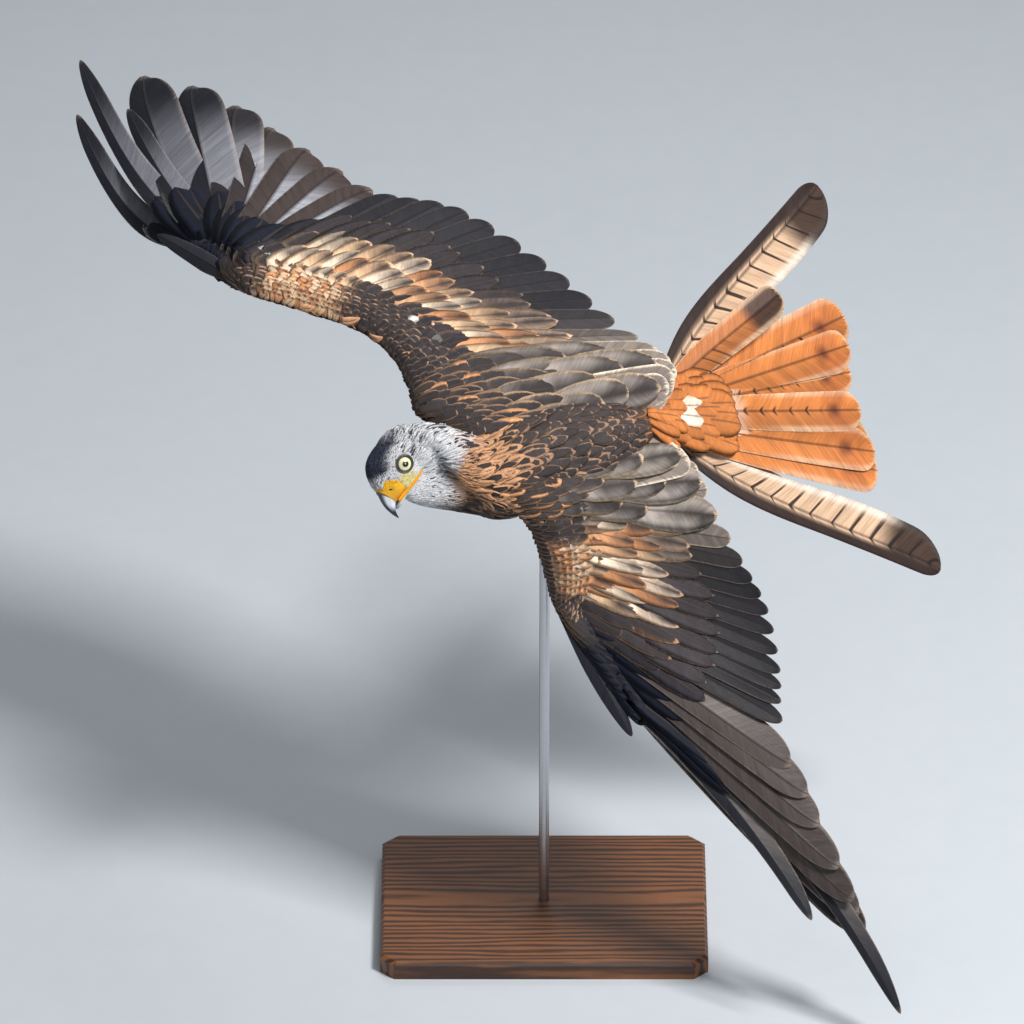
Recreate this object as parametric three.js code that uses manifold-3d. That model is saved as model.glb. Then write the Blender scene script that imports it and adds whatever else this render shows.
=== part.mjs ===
// A red kite in banked flight on a plain display stand, in millimetres, +Z up.
// The bird is built flat on in its own flight frame: x runs towards the tail, y towards the raised
// right wing and z out of the back. One group then banks that frame and lifts it onto the stand.
import * as THREE from "three";
import { mergeVertices } from "three/addons/utils/BufferGeometryUtils.js";
import Module from "manifold-3d";

const wasm = await Module();
wasm.setup();

// Driving dimensions
const bankAngle = 60; // degrees from level to the plane that the wings are set out in
const flightHeight = 540; // the flight frame's origin over the floor
const rodUnder = 24; // how far ahead of the body's middle the rod holds it
const bodyRoll = 30; // degrees that the body is rolled inside the flight frame, left side nearer
const partingGap = 0.35; // between touching nodes
const flightVane = 0.6; // thickness of a flight feather
const covertVane = 0.55; // thickness of a covert
const tailVane = 0.7; // thickness of a tail feather
const scapularWidth = 42;
const fingerWidth = 42;
const alulaWidth = 15;
const vaneGap = 0.4; // between a feather and the neighbour that it lies over

const scapulars = 2; // long shoulder feathers, feather -2 and -1
const innerFeathers = 14; // tertials and secondaries, feather 0 to 13, from the body outwards
const primaries = 10; // feather 14 to 23
const wristAt = 13.5; // where the arm ends and the hand begins, counted in feathers
const handEnd = 23; // the outermost primary
const moultedPrimary = 21; // this one is still growing, so it is short in both wings

const vec = (p) => new THREE.Vector3(...p);
const radians = THREE.MathUtils.degToRad;
const lerp = THREE.MathUtils.lerp;
const smooth = (t) => THREE.MathUtils.smoothstep(t, 0, 1);

// Solids

function manifoldOf(geometry) {
  const bare = geometry.index ? geometry.toNonIndexed() : geometry.clone();
  for (const name of Object.keys(bare.attributes)) if (name !== "position") bare.deleteAttribute(name);
  const merged = mergeVertices(bare, 1e-4);
  return new wasm.Manifold(
    new wasm.Mesh({
      numProp: 3,
      vertProperties: merged.attributes.position.array,
      triVerts: new Uint32Array(merged.index.array),
    }),
  );
}

function geometryOf(manifold) {
  const mesh = manifold.getMesh();
  const geometry = new THREE.BufferGeometry();
  geometry.setAttribute("position", new THREE.BufferAttribute(mesh.vertProperties, 3));
  geometry.setIndex(new THREE.BufferAttribute(mesh.triVerts, 1));
  return geometry;
}

// A closed solid from points and triangles, turned to face out whichever way they were listed.
function solidOf(points, triangles) {
  let volume = 0;
  for (const [a, b, c] of triangles)
    volume += points[a].dot(new THREE.Vector3().crossVectors(points[b], points[c]));
  const faces = volume < 0 ? triangles.map(([a, b, c]) => [a, c, b]) : triangles;
  const geometry = new THREE.BufferGeometry().setFromPoints(points);
  geometry.setIndex(faces.flat());
  return manifoldOf(geometry);
}

// A skin over rings of equal count, closed at both ends by a fan.
function loft(rings) {
  const count = rings[0].length;
  const points = rings.flat();
  const triangles = [];
  for (let i = 0; i + 1 < rings.length; i++)
    for (let j = 0; j < count; j++) {
      const a = i * count + j;
      const b = i * count + ((j + 1) % count);
      triangles.push([a, b, b + count], [a, b + count, a + count]);
    }
  for (const [ring, flip] of [[0, false], [rings.length - 1, true]]) {
    const centre = rings[ring].reduce((sum, p) => sum.add(p), new THREE.Vector3()).divideScalar(count);
    points.push(centre);
    for (let j = 0; j < count; j++) {
      const a = ring * count + j;
      const b = ring * count + ((j + 1) % count);
      triangles.push(flip ? [a, b, points.length - 1] : [b, a, points.length - 1]);
    }
  }
  return solidOf(points, triangles);
}

// A thin plate from stations that each hold the outer and inner edge point and the face's normal.
// Both faces are split along like diagonals, so that they stay parallel where the plate twists.
function plate(stations, thickness) {
  const points = stations.flatMap(({ outer, inner, normal }) => {
    const half = normal.clone().multiplyScalar(thickness / 2);
    return [outer, inner].flatMap((edge) => [edge.clone().add(half), edge.clone().sub(half)]);
  });
  const triangles = [];
  for (let i = 0; i + 1 < stations.length; i++) {
    const [ot, ob, it, ib, OT, OB, IT, IB] = [0, 1, 2, 3, 4, 5, 6, 7].map((n) => 4 * i + n);
    triangles.push([ot, OT, IT], [ot, IT, it], [ob, IB, OB], [ob, ib, IB]);
    triangles.push([ot, ob, OB], [ot, OB, OT], [it, IT, IB], [it, IB, ib]);
  }
  const last = 4 * (stations.length - 1);
  triangles.push([0, 2, 3], [0, 3, 1], [last, last + 1, last + 3], [last, last + 3, last + 2]);
  return solidOf(points, triangles);
}

const join = (solids) => wasm.Manifold.union(solids);

// A node stays one closed body: what a cut leaves loose is dropped.
function largest(solid) {
  return solid.decompose().reduce((a, b) => (b.volume() > a.volume() ? b : a));
}

// A curve through keys of [place, x, y, z], read at any place between them.
function curveThrough(keys) {
  const value = (i) => vec(keys[i].slice(1));
  const slope = (i) => {
    const a = Math.max(i - 1, 0);
    const b = Math.min(i + 1, keys.length - 1);
    return value(b).sub(value(a)).divideScalar(keys[b][0] - keys[a][0]);
  };
  return (place) => {
    let i = 0;
    while (i < keys.length - 2 && place > keys[i + 1][0]) i++;
    const span = keys[i + 1][0] - keys[i][0];
    const t = (place - keys[i][0]) / span;
    if (t > 1 || t < 0) {
      const end = t > 1 ? i + 1 : 0;
      return value(end).addScaledVector(slope(end), place - keys[end][0]);
    }
    const [t2, t3] = [t * t, t * t * t];
    return value(i)
      .multiplyScalar(2 * t3 - 3 * t2 + 1)
      .addScaledVector(slope(i), (t3 - 2 * t2 + t) * span)
      .addScaledVector(value(i + 1), 3 * t2 - 2 * t3)
      .addScaledVector(slope(i + 1), (t3 - t2) * span);
  };
}

// The same for plain numbers.
function numberThrough(keys) {
  const curve = curveThrough(keys.map(([place, value]) => [place, value, 0, 0]));
  return (place) => curve(place).x;
}

// Wings: each is set out on three curves, whose places count the flight feathers from the body
// outwards. lead is the leading edge, core the line that the flight feathers leave the arm at,
// and tip the line through their ends.

const rightWing = {
  name: "right",
  side: 1,
  spread: 1,
  fingerSpread: 1,
  bow: [[19, 0], [20, 24], [21, 34], [22, 60], [23, 86]],
  fingerFacing: [-0.3, 0.42, 0.86],
  alulaTip: [-389, 190, -84],
  lead: [
    [-3, -96, -12, 36],
    [0, -138, 16, 34],
    [2, -145, 38, 27],
    [4, -160, 68, 14],
    [7, -191, 94, 4],
    [10, -237, 111, -2],
    [13.5, -298, 130, 0],
    [16, -328, 144, -24],
    [19, -346, 163, -54],
    [23, -362, 174, -84],
  ],
  core: [
    [-3, -10, 2, 14],
    [0, -50, 34, 16],
    [2, -86, 64, 6],
    [4, -124, 98, -12],
    [7, -170, 124, -26],
    [10, -222, 144, -28],
    [13.5, -288, 160, -20],
    [16, -307, 172, -40],
    [19, -321, 180, -66],
    [23, -338, 182, -90],
  ],
  tip: [
    [-3, 100, 31, -34],
    [0, 113, 56, -42],
    [2, 95, 77, -58],
    [4, 53, 109, -118],
    [7, -14, 166, -158],
    [10, -91, 215, -178],
    [13, -161, 231, -190],
    [14, -182, 236, -204],
    [15, -212, 255, -222],
    [16, -245, 277, -248],
    [17, -281, 300, -284],
    [18, -317, 324, -326],
    [19, -363, 346, -372],
    [20, -412, 357, -400],
    [22, -475, 370, -342],
    [23, -476, 314, -292],
  ],
};

const leftWing = {
  name: "left",
  side: -1,
  spread: 0.7,
  fingerSpread: 0.88,
  bow: [[15, 0], [19, 6], [21, 0], [22, -44], [23, -12]],
  fingerFacing: [-0.1, -0.16, 0.98],
  alulaTip: [69, -294, 2],
  lead: [
    [-3, -76, -44, 52],
    [0, -50, -72, 54],
    [2, -38, -84, 51],
    [4, -28, -97, 46],
    [7, -20, -120, 37],
    [10, -14, -142, 27],
    [13.5, -6, -168, 16],
    [16, 14, -202, 11],
    [19, 38, -237, 6],
    [23, 68, -276, 0],
  ],
  core: [
    [-3, -4, -34, 30],
    [0, 10, -60, 36],
    [2, 20, -75, 35],
    [4, 27, -93, 32],
    [7, 32, -118, 27],
    [10, 31, -143, 20],
    [13.5, 22, -172, 11],
    [16, 37, -198, 7],
    [19, 57, -230, 2],
    [23, 79, -269, -3],
  ],
  tip: [
    [-3, 104, -9, -32],
    [0, 133, -36, -38],
    [2, 153, -81, -58],
    [4, 177, -125, -78],
    [7, 202, -173, -76],
    [10, 213, -231, -46],
    [13, 214, -279, -12],
    [14, 223, -320, -8],
    [15, 239, -349, -6],
    [16, 250, -378, -6],
    [17, 269, -419, -8],
    [18, 283, -451, -14],
    [20, 295, -483, -36],
    [22, 328, -562, -30],
    [23, 242, -471, -12],
  ],
};

const curlKeys = [[0, 0], [4, 4], [13, 5], [17, -6], [20, -16], [23, -22]]; // upward bend of the feathers

// Adds to a wing the places on it: v is 0 at the leading edge, 1 where the feathers leave the arm
// and 2 at their tips. The outermost feathers take the slope of the surface from beside them.
function setOut(wing) {
  const [lead, core, tip] = [wing.lead, wing.core, wing.tip].map(curveThrough);
  const curl = numberThrough(curlKeys);
  const bow = numberThrough(wing.bow);
  const step = 0.5;
  const broadNormal = (k) => {
    const chord = tip(k).sub(lead(k)).normalize();
    const a = THREE.MathUtils.clamp(k - step, 0, 21);
    const b = a + 2 * step;
    const out = core(b).add(lead(b)).sub(core(a)).sub(lead(a));
    return new THREE.Vector3().crossVectors(chord, out).multiplyScalar(wing.side).normalize();
  };
  const point = (k, v) => {
    if (v <= 1) return lead(k).lerp(core(k), v);
    const [a, c] = [core(k), tip(k)];
    const bend = a.clone().add(c).divideScalar(2).addScaledVector(broadNormal(k), curl(k));
    const forwards = new THREE.Vector3().crossVectors(broadNormal(k), c.clone().sub(a)).normalize();
    if (k > wing.bow[0][0]) bend.addScaledVector(forwards, wing.side * bow(k));
    const t = v - 1;
    a.multiplyScalar((1 - t) * (1 - t));
    return a.addScaledVector(bend, 2 * t * (1 - t)).addScaledVector(c, t * t);
  };
  const facing = vec(wing.fingerFacing);
  const normal = (place, v) => {
    const k = Math.min(place, 20.5);
    const along = point(k, v + 0.04).sub(point(k, v - 0.04));
    const out = point(k + step, v).sub(point(k - step, v));
    const n = new THREE.Vector3().crossVectors(along, out).multiplyScalar(wing.side).normalize();
    const turn = smooth((place - 15.5) / 4) * smooth((v - 0.9) / 0.8);
    return n.lerp(facing, turn).normalize();
  };
  return { ...wing, lead, core, tip, normal, point };
}

// The outline of a feather as shares of its greatest width: place along it, outer web, inner web.
const roundFeather = [
  [0, 0.14, 0.14],
  [0.24, 0.4, 0.46],
  [0.6, 0.48, 0.52],
  [0.93, 0.46, 0.46],
  [1, 0.26, 0.26],
];
const innerFeather = [
  [0, 0.2, 0.2],
  [0.45, 0.46, 0.5],
  [0.92, 0.46, 0.46],
  [1, 0.26, 0.26],
];
const fingerFeather = [
  [0, 0.12, 0.12],
  [0.3, 0.28, 0.5],
  [0.5, 0.3, 0.52],
  [0.72, 0.22, 0.36],
  [0.92, 0.15, 0.24],
  [1, 0.05, 0.08],
];
const covertFeather = [
  [0, 0.24, 0.24],
  [0.5, 0.5, 0.5],
  [0.84, 0.42, 0.44],
  [1, 0.14, 0.14],
];

// A feather laid on a wing from v0 to v1 at feather place k, tilted just enough to lie over its
// outer neighbour. lift is its height over the middle surface at root and tip, and margin the room
// added on all sides where the feather is used to cut another node clear.
function wingFeather(wing, k, [v0, v1], width, lift, thickness, outline, margin = 0) {
  const at = (s) => {
    const v = lerp(v0, v1, s);
    return wing.point(k, v).addScaledVector(wing.normal(k, v), lerp(lift[0], lift[1], smooth(s)));
  };
  const stations = outline.map(([s, outerShare, innerShare]) => {
    const v = lerp(v0, v1, s);
    const n = wing.normal(k, v);
    const along = at(Math.min(s + 0.05, 1)).sub(at(Math.max(s - 0.05, 0))).normalize();
    const out = new THREE.Vector3().crossVectors(n, along).multiplyScalar(wing.side).normalize();
    out.addScaledVector(n, tileSlope(wing, k, v, out, width, thickness)).normalize();
    const middle = at(s).addScaledVector(along, s === 0 ? -margin : s === 1 ? margin : 0);
    return {
      outer: middle.clone().addScaledVector(out, outerShare * width + margin),
      inner: middle.clone().addScaledVector(out, -innerShare * width - margin),
      normal: new THREE.Vector3().crossVectors(along, out).multiplyScalar(wing.side).normalize(),
    };
  });
  return plate(stations, thickness + 2 * margin);
}

// Rise over run of a feather across its width, from the room that it has beside its neighbour and
// from how far the surface turns in that room.
function tileSlope(wing, k, v, out, width, thickness) {
  const place = Math.min(k, 20.5);
  const room = Math.abs(wing.point(place + 0.5, v).sub(wing.point(place - 0.5, v)).dot(out));
  const turn = Math.abs(wing.normal(place + 0.5, v).sub(wing.normal(place - 0.5, v)).dot(out));
  return Math.min((thickness + vaneGap + turn * width * 0.4) / Math.max(room, 1), 0.2);
}

// Half the arm's thickness over the chord, as shares of its greatest.
const armSection = [[0, 0], [0.06, 0.5], [0.2, 0.88], [0.42, 1], [0.7, 0.7], [1, 0.26]];

function wingRing(wing, k, halfThickness, grow = 0) {
  const back = wing.core(k).sub(wing.lead(k)).setLength(grow);
  const side = (sign) => ([v, t]) =>
    wing
      .point(k, v)
      .addScaledVector(back, v === 1 ? 1 : 0)
      .addScaledVector(wing.normal(k, 0.5), sign * (t * halfThickness + grow * 1.3));
  const upper = armSection.slice(1).map(side(1));
  const lower = armSection.slice(1).map(side(-0.8));
  return [wing.lead(k).sub(back), ...upper, ...lower.reverse()];
}

const armThickness = numberThrough(
  [[-3, 18], [0, 16], [3, 14], [7, 11], [10, 9], [13.5, 8], [17, 6.5], [23, 4.5]],
);

function wingCore(wing, from, to, count, grow = 0) {
  const rings = Array.from({ length: count }, (_, i) => {
    const k = lerp(from, to, i / (count - 1));
    return wingRing(wing, k, armThickness(k), grow);
  });
  const inwards = wing.core(from - 0.5).sub(wing.core(from + 0.5)).setLength(grow);
  if (grow) rings.unshift(rings[0].map((p) => p.clone().add(inwards)));
  return loft(rings);
}

// Tiers of coverts from the flight feathers forwards: root and tip places, width and lifts.
const armTiers = [
  { v: [0.62, 1.5], width: 30, lift: [4, 3.4], every: 1.5 },
  { v: [0.4, 1.12], width: 32, lift: [7, 6.4], every: 2 },
];
const handTiers = [{ v: [0.5, 1.42], width: 26, lift: [3, 4.2], every: 1.5 }];

function tierOf(wing, tier, from, to, margin = 0) {
  const feathers = [];
  const width = tier.width * wing.spread;
  for (let k = from; k <= to + 1e-6; k += tier.every)
    feathers.push(wingFeather(wing, k, tier.v, width, tier.lift, covertVane, covertFeather, margin));
  return feathers;
}

function flightFeather(wing, k, margin = 0) {
  const inArm = k < innerFeathers;
  const finger = k > 20;
  const reach = k === moultedPrimary ? 1.8 : 2;
  const span = inArm ? 35 : 52;
  const width = k < 0 ? scapularWidth : finger ? fingerWidth * wing.fingerSpread : span * wing.spread;
  const outline = finger ? fingerFeather : inArm ? innerFeather : roundFeather;
  return wingFeather(wing, k, [inArm ? 0.7 : 0.6, reach], width, [0, 0], flightVane, outline, margin);
}

function armOf(wing) {
  const places = Array.from({ length: scapulars + innerFeathers }, (_, i) => i - scapulars);
  const feathers = places.map((k) => flightFeather(wing, k));
  for (const tier of armTiers) feathers.push(...tierOf(wing, tier, 1, 13));
  const arm = join([wingCore(wing, -3, wristAt - 0.02, 10), ...feathers]);
  return arm.subtract(join(handOf(wing, partingGap)));
}

// The alula: short stiff feathers along the leading edge of the hand.
function alulaOf(wing, margin) {
  return [0, 1, 2].map((i) => {
    const root = wing.point(14.1 + i * 0.35, 0.2);
    const tip = vec(wing.alulaTip).lerp(root, i * 0.16).addScaledVector(wing.normal(17, 0), -1.2 * i);
    const along = tip.clone().sub(root).normalize();
    const facing = wing.normal(16, 0.2);
    const out = new THREE.Vector3().crossVectors(facing, along).multiplyScalar(wing.side).normalize();
    root.addScaledVector(along, -margin).addScaledVector(facing, 3);
    tip.addScaledVector(along, margin);
    return plate(
      covertFeather.map(([s, outerShare, innerShare]) => ({
        outer: root.clone().lerp(tip, s).addScaledVector(out, outerShare * alulaWidth + margin),
        inner: root.clone().lerp(tip, s).addScaledVector(out, -innerShare * alulaWidth - margin),
        normal: facing,
      })),
      covertVane + 2 * margin,
    );
  });
}

function handOf(wing, margin = 0) {
  const feather = (_, i) => flightFeather(wing, innerFeathers + i, margin);
  const feathers = Array.from({ length: primaries }, feather);
  for (const tier of handTiers) feathers.push(...tierOf(wing, tier, 14, handEnd - 0.5, margin));
  return [wingCore(wing, wristAt + 0.02, handEnd, 5, margin), ...feathers, ...alulaOf(wing, margin)];
}

// The body's own axes in the flight frame: ahead runs from tail to neck, up out of the back.
const bodyPitch = 25; // degrees that the neck end comes nearer
const bodyCentre = vec([5.8, -15.4, -8]);
const flatAhead = vec([-0.942, -0.336, 0]).normalize();
const towardsViewer = vec([0, 0, 1]);

function axesFrom(flat, pitch, roll) {
  const ahead = flat.clone().multiplyScalar(Math.cos(radians(pitch)));
  ahead.addScaledVector(towardsViewer, Math.sin(radians(pitch)));
  const flatUp = towardsViewer.clone().multiplyScalar(Math.cos(radians(pitch)));
  flatUp.addScaledVector(flat, -Math.sin(radians(pitch)));
  const flatRight = new THREE.Vector3().crossVectors(ahead, flatUp);
  const up = flatUp.clone().multiplyScalar(Math.cos(radians(roll)));
  up.addScaledVector(flatRight, Math.sin(radians(roll)));
  return { ahead, up, right: new THREE.Vector3().crossVectors(ahead, up) };
}

const body = axesFrom(flatAhead, bodyPitch, bodyRoll);

const onBody = (ahead, right, up) =>
  bodyCentre
    .clone()
    .addScaledVector(body.ahead, ahead)
    .addScaledVector(body.right, right)
    .addScaledVector(body.up, up);

// The head is turned left and down, crown a little towards the viewer.
const headCentre = vec([-159.6, -35.9, 58]);
const headYaw = 22;
const headTip = 24;

function headAxes() {
  const flat = vec([-0.53, -0.85, 0]).normalize();
  const flatUp = vec([-0.85, 0.53, 0]).normalize();
  const ahead = flat.clone().multiplyScalar(Math.cos(radians(headYaw)));
  ahead.addScaledVector(towardsViewer, Math.sin(radians(headYaw)));
  const side = new THREE.Vector3().crossVectors(flatUp, ahead).negate();
  if (side.z < 0) side.negate();
  const up = flatUp.clone().multiplyScalar(Math.cos(radians(headTip)));
  up.addScaledVector(side, Math.sin(radians(headTip)));
  const left = new THREE.Vector3().crossVectors(up, ahead);
  return { ahead, up, right: left.z > 0 ? left.negate() : left };
}

const head = headAxes();

const onHead = (ahead, right, up) =>
  headCentre
    .clone()
    .addScaledVector(head.ahead, ahead)
    .addScaledVector(head.right, right)
    .addScaledVector(head.up, up);

// A ring across the body: half width, height over the centre and depth under it.
function ringAt(centre, right, up, [halfWidth, above, below], count = 22) {
  return Array.from({ length: count }, (_, i) => {
    const angle = (2 * Math.PI * i) / count;
    const height = Math.sin(angle) * (Math.sin(angle) > 0 ? above : below);
    return centre
      .clone()
      .addScaledVector(right, Math.cos(angle) * halfWidth)
      .addScaledVector(up, height);
  });
}

// Torso rings from the tail root to the neck: place ahead, half width, height above, depth below.
const torsoRings = [
  [-95, 17, 13, 14],
  [-84, 26, 19, 21],
  [-60, 38, 30, 33],
  [-30, 47, 39, 43],
  [5, 52, 44, 49],
  [40, 53, 45, 54],
  [70, 50, 43, 52],
  [92, 46, 40, 49],
];

function torsoOf(grow = 0) {
  const ends = [0, torsoRings.length - 1];
  return loft(
    torsoRings.map(([ahead, ...sizes], i) => {
      const shift = i === ends[0] ? -grow : i === ends[1] ? grow : 0;
      return ringAt(onBody(ahead + shift, 0, 0), body.right, body.up, sizes.map((size) => size + grow));
    }),
  );
}

// Neck rings: centre, turn from the body's axes to the head's, and sizes as above.
const neckRings = [
  [[92 + partingGap, 0, 0], 0, [46, 40, 49]],
  [[118, 18, 7], 0.2, [45, 44, 47]],
  [[137, 29, 13], 0.5, [40, 43, 46]],
  [[148, 40, 16], 0.8, [35, 35, 44]],
];
const nape = { centre: [-131, -20, 51], radius: 29.5 };
// The throat, from the breast to the chin: centre, half width, height above, depth below.
const throatAhead = vec([-0.93, -0.12, 0.35]).normalize();
const throatRings = [
  [[-60, -38, 8], [40, 30, 44]],
  [[-84, -40, 20], [40, 28, 43]],
  [[-104, -41, 28], [37, 26, 40]],
  [[-120, -43, 34], [33, 22, 36]],
  [[-136, -45, 41], [26, 18, 31]],
  [[-147, -48, 47], [17, 12, 24]],
  [[-153, -51, 50], [8, 6, 14]],
];
const headRear = -24; // where the head meets the neck
const headRings = [
  [headRear, 30, 25, 44],
  [-12, 28.5, 25.5, 42],
  [2, 26.5, 27, 37],
  [13, 22, 25.5, 30],
  [21, 16.5, 20, 21],
  [26, 12, 12, 19],
  [28.5, 9, 6, 18],
];

function turned(share) {
  const up = body.up.clone().lerp(head.up, share);
  const ahead = body.ahead.clone().lerp(head.ahead, share).normalize();
  up.addScaledVector(ahead, -up.dot(ahead)).normalize();
  return { ahead, up, right: new THREE.Vector3().crossVectors(ahead, up) };
}

function neckOf(grow = 0) {
  const rings = neckRings.map(([[ahead, right, up], share, sizes]) => {
    const axes = turned(share);
    return ringAt(onBody(ahead, right, up), axes.right, axes.up, sizes.map((size) => size + grow));
  });
  const last = turned(1);
  const sizes = headRings[0].slice(1).map((size) => size + grow);
  rings.push(ringAt(onHead(headRear - partingGap + grow, 0, 0), last.right, last.up, sizes));
  return join([loft(rings), throatOf(grow), ball(vec(nape.centre), nape.radius + grow, 14, 9)]);
}

function throatOf(grow) {
  const up = vec([0, 1, 0]).addScaledVector(throatAhead, -throatAhead.y).normalize();
  const right = new THREE.Vector3().crossVectors(throatAhead, up);
  return loft(
    throatRings.map(([centre, sizes], i) => {
      const shift = i === throatRings.length - 1 ? grow : 0;
      const middle = vec(centre).addScaledVector(throatAhead, shift);
      return ringAt(middle, right, up, sizes.map((size) => size + grow), 14);
    }),
  );
}

function ball(centre, radius, across = 12, down = 8) {
  return manifoldOf(new THREE.SphereGeometry(radius, across, down).translate(centre.x, centre.y, centre.z));
}

// A tapering rod of few sides along points, with a radius at each.
function strand(points, radii, sides = 6) {
  const rings = points.map((point, i) => {
    const next = points[Math.min(i + 1, points.length - 1)];
    const ahead = next.clone().sub(points[Math.max(i - 1, 0)]).normalize();
    const side = new THREE.Vector3().crossVectors(ahead, body.right.clone().add(head.ahead)).normalize();
    const up = new THREE.Vector3().crossVectors(ahead, side);
    return ringAt(point, side, up, [radii[i], radii[i], radii[i]], sides);
  });
  return loft(rings);
}

const eyePlace = { ahead: -1.5, side: 17.5, up: 1.5 };
const eyeRadius = 10;
const lidRadius = 7.9;

function eyeCentre(side) {
  return onHead(eyePlace.ahead, side * eyePlace.side, eyePlace.up);
}

function eyeAxis(side) {
  const axis = head.right.clone().multiplyScalar(side);
  return axis.addScaledVector(head.ahead, 0.24).addScaledVector(head.up, 0.1).normalize();
}

function lidRing(side) {
  const axis = eyeAxis(side);
  const centre = eyeCentre(side).addScaledVector(axis, 6.6);
  const first = new THREE.Vector3().crossVectors(axis, head.up).normalize();
  const second = new THREE.Vector3().crossVectors(axis, first);
  const turns = 14;
  const points = [];
  const triangles = [];
  const sides = 4;
  for (let i = 0; i < turns; i++) {
    const angle = (2 * Math.PI * i) / turns;
    const out = first.clone().multiplyScalar(Math.cos(angle)).addScaledVector(second, Math.sin(angle));
    for (let j = 0; j < sides; j++) {
      const around = (2 * Math.PI * j) / sides;
      points.push(
        centre
          .clone()
          .addScaledVector(out, lidRadius + 1.3 * Math.cos(around))
          .addScaledVector(axis, 1.3 * Math.sin(around)),
      );
      const next = (i + 1) % turns;
      const [a, b] = [i * sides + j, i * sides + ((j + 1) % sides)];
      const [c, d] = [next * sides + j, next * sides + ((j + 1) % sides)];
      triangles.push([a, b, d], [a, d, c]);
    }
  }
  return solidOf(points, triangles);
}

// Bill sections: the culmen and the cutting edge as [ahead, up], and the half width between them.
const billRings = [
  [[16, 3], [12, -18.5], 12],
  [[22, 4.5], [18, -19.3], 9.6],
  [[27, 3], [23, -20.3], 8.3],
  [[31, -0.5], [26.5, -21.3], 7],
  [[34.2, -7.5], [28.6, -22.8], 5.8],
  [[36.4, -14], [30.6, -24.4], 4.6],
  [[37.3, -20], [32.4, -26], 3.4],
  [[37.2, -27], [34, -28.8], 2.1],
  [[36.2, -33], [35.3, -32.6], 0.6],
];
const lowerBillRings = [
  [[10, -19], [8, -26], 10],
  [[19, -20.4], [18, -26.6], 7.4],
  [[25.5, -22], [25, -27.4], 5],
  [[29, -23.8], [28.6, -27.4], 3],
  [[30.6, -25.2], [30.2, -26.6], 1.4],
];
const cereEnd = 3; // the bill section where the cere gives way to horn

function billLoft(sections) {
  return loft(
    sections.map(([top, bottom, halfWidth]) => {
      const a = onHead(top[0], 0, top[1]);
      const b = onHead(bottom[0], 0, bottom[1]);
      const up = a.clone().sub(b);
      const half = up.length() / 2;
      return ringAt(a.add(b).divideScalar(2), head.right, up.normalize(), [halfWidth, half, half], 14);
    }),
  );
}

// A bill section moved along the bill, and one pushed out all round, by so much.
const shifted = ([top, bottom, halfWidth], by) => [
  [top[0] + by * 0.8, top[1] - by * 0.6],
  [bottom[0] + by * 0.8, bottom[1] - by * 0.6],
  halfWidth,
];

const grown = ([top, bottom, halfWidth], by) => [
  [top[0] + by * 0.5, top[1] + by],
  [bottom[0] - by * 0.5, bottom[1] - by],
  halfWidth + by,
];

function cereOf() {
  const cere = billLoft(billRings.slice(0, cereEnd + 1));
  const pits = [-1, 1].map((side) => ball(onHead(23.5, side * 9.4, -5.4), 2.1, 8, 6));
  return cere.subtract(join(pits));
}

const hornOf = () => billLoft([shifted(billRings[cereEnd], partingGap), ...billRings.slice(cereEnd + 1)]);

const lowerBillOf = () => billLoft(lowerBillRings);

// The room that the bill takes up in the head.
function billSeat() {
  const deep = ([top, bottom, w]) => [[top[0] - 1, top[1]], [bottom[0] - 1, bottom[1]], w];
  return [billRings, lowerBillRings].map((rings) => {
    const sections = rings.map((section) => grown(section, partingGap + 0.1));
    return billLoft([deep(sections[0]), ...sections]);
  });
}

// The gape: a lip over and under the line of the mouth, from below the eye to the bill.
const gapeLine = [[-7, 25.3, -16.2], [2, 23.2, -17.4], [11, 17.4, -18.6], [19, 11.4, -19.6]];
const gapeRadii = [0.8, 1.7, 1.8, 1.2];

function gapeOf(grow = 0) {
  return [-1, 1].flatMap((side) =>
    [1, -1].map((edge) => {
      const at = ([ahead, right, up]) => onHead(ahead, side * right, up + edge * 1.1);
      return strand(gapeLine.map(at), gapeRadii.map((radius) => radius + grow), 5);
    }),
  );
}

function headFlesh(grow = 0) {
  const right = turned(1).right;
  return loft(
    headRings.map(([ahead, ...sizes]) => {
      const shift = ahead === headRear ? -grow : grow * 0.5;
      const grown = sizes.map((size) => size + grow);
      return ringAt(onHead(ahead + shift, 0, 0), right, head.up, grown, 24);
    }),
  );
}

// What the head and the bill take out of the neck and the throat.
const headRoom = () => join([headFlesh(partingGap), ...gapeOf(partingGap * 1.3), ...billSeat()]);

function headOf() {
  const flesh = headFlesh();
  const sockets = [-1, 1].flatMap((side) => [
    ball(eyeCentre(side).addScaledVector(eyeAxis(side), 17), 12),
    ball(eyeCentre(side), eyeRadius + partingGap),
  ]);
  const lids = [-1, 1].map(lidRing);
  const whole = join([flesh.subtract(sockets[0]).subtract(sockets[2]), ...lids, ...gapeOf()]);
  return whole.subtract(join([sockets[1], sockets[3], ...billSeat()]));
}

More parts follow.
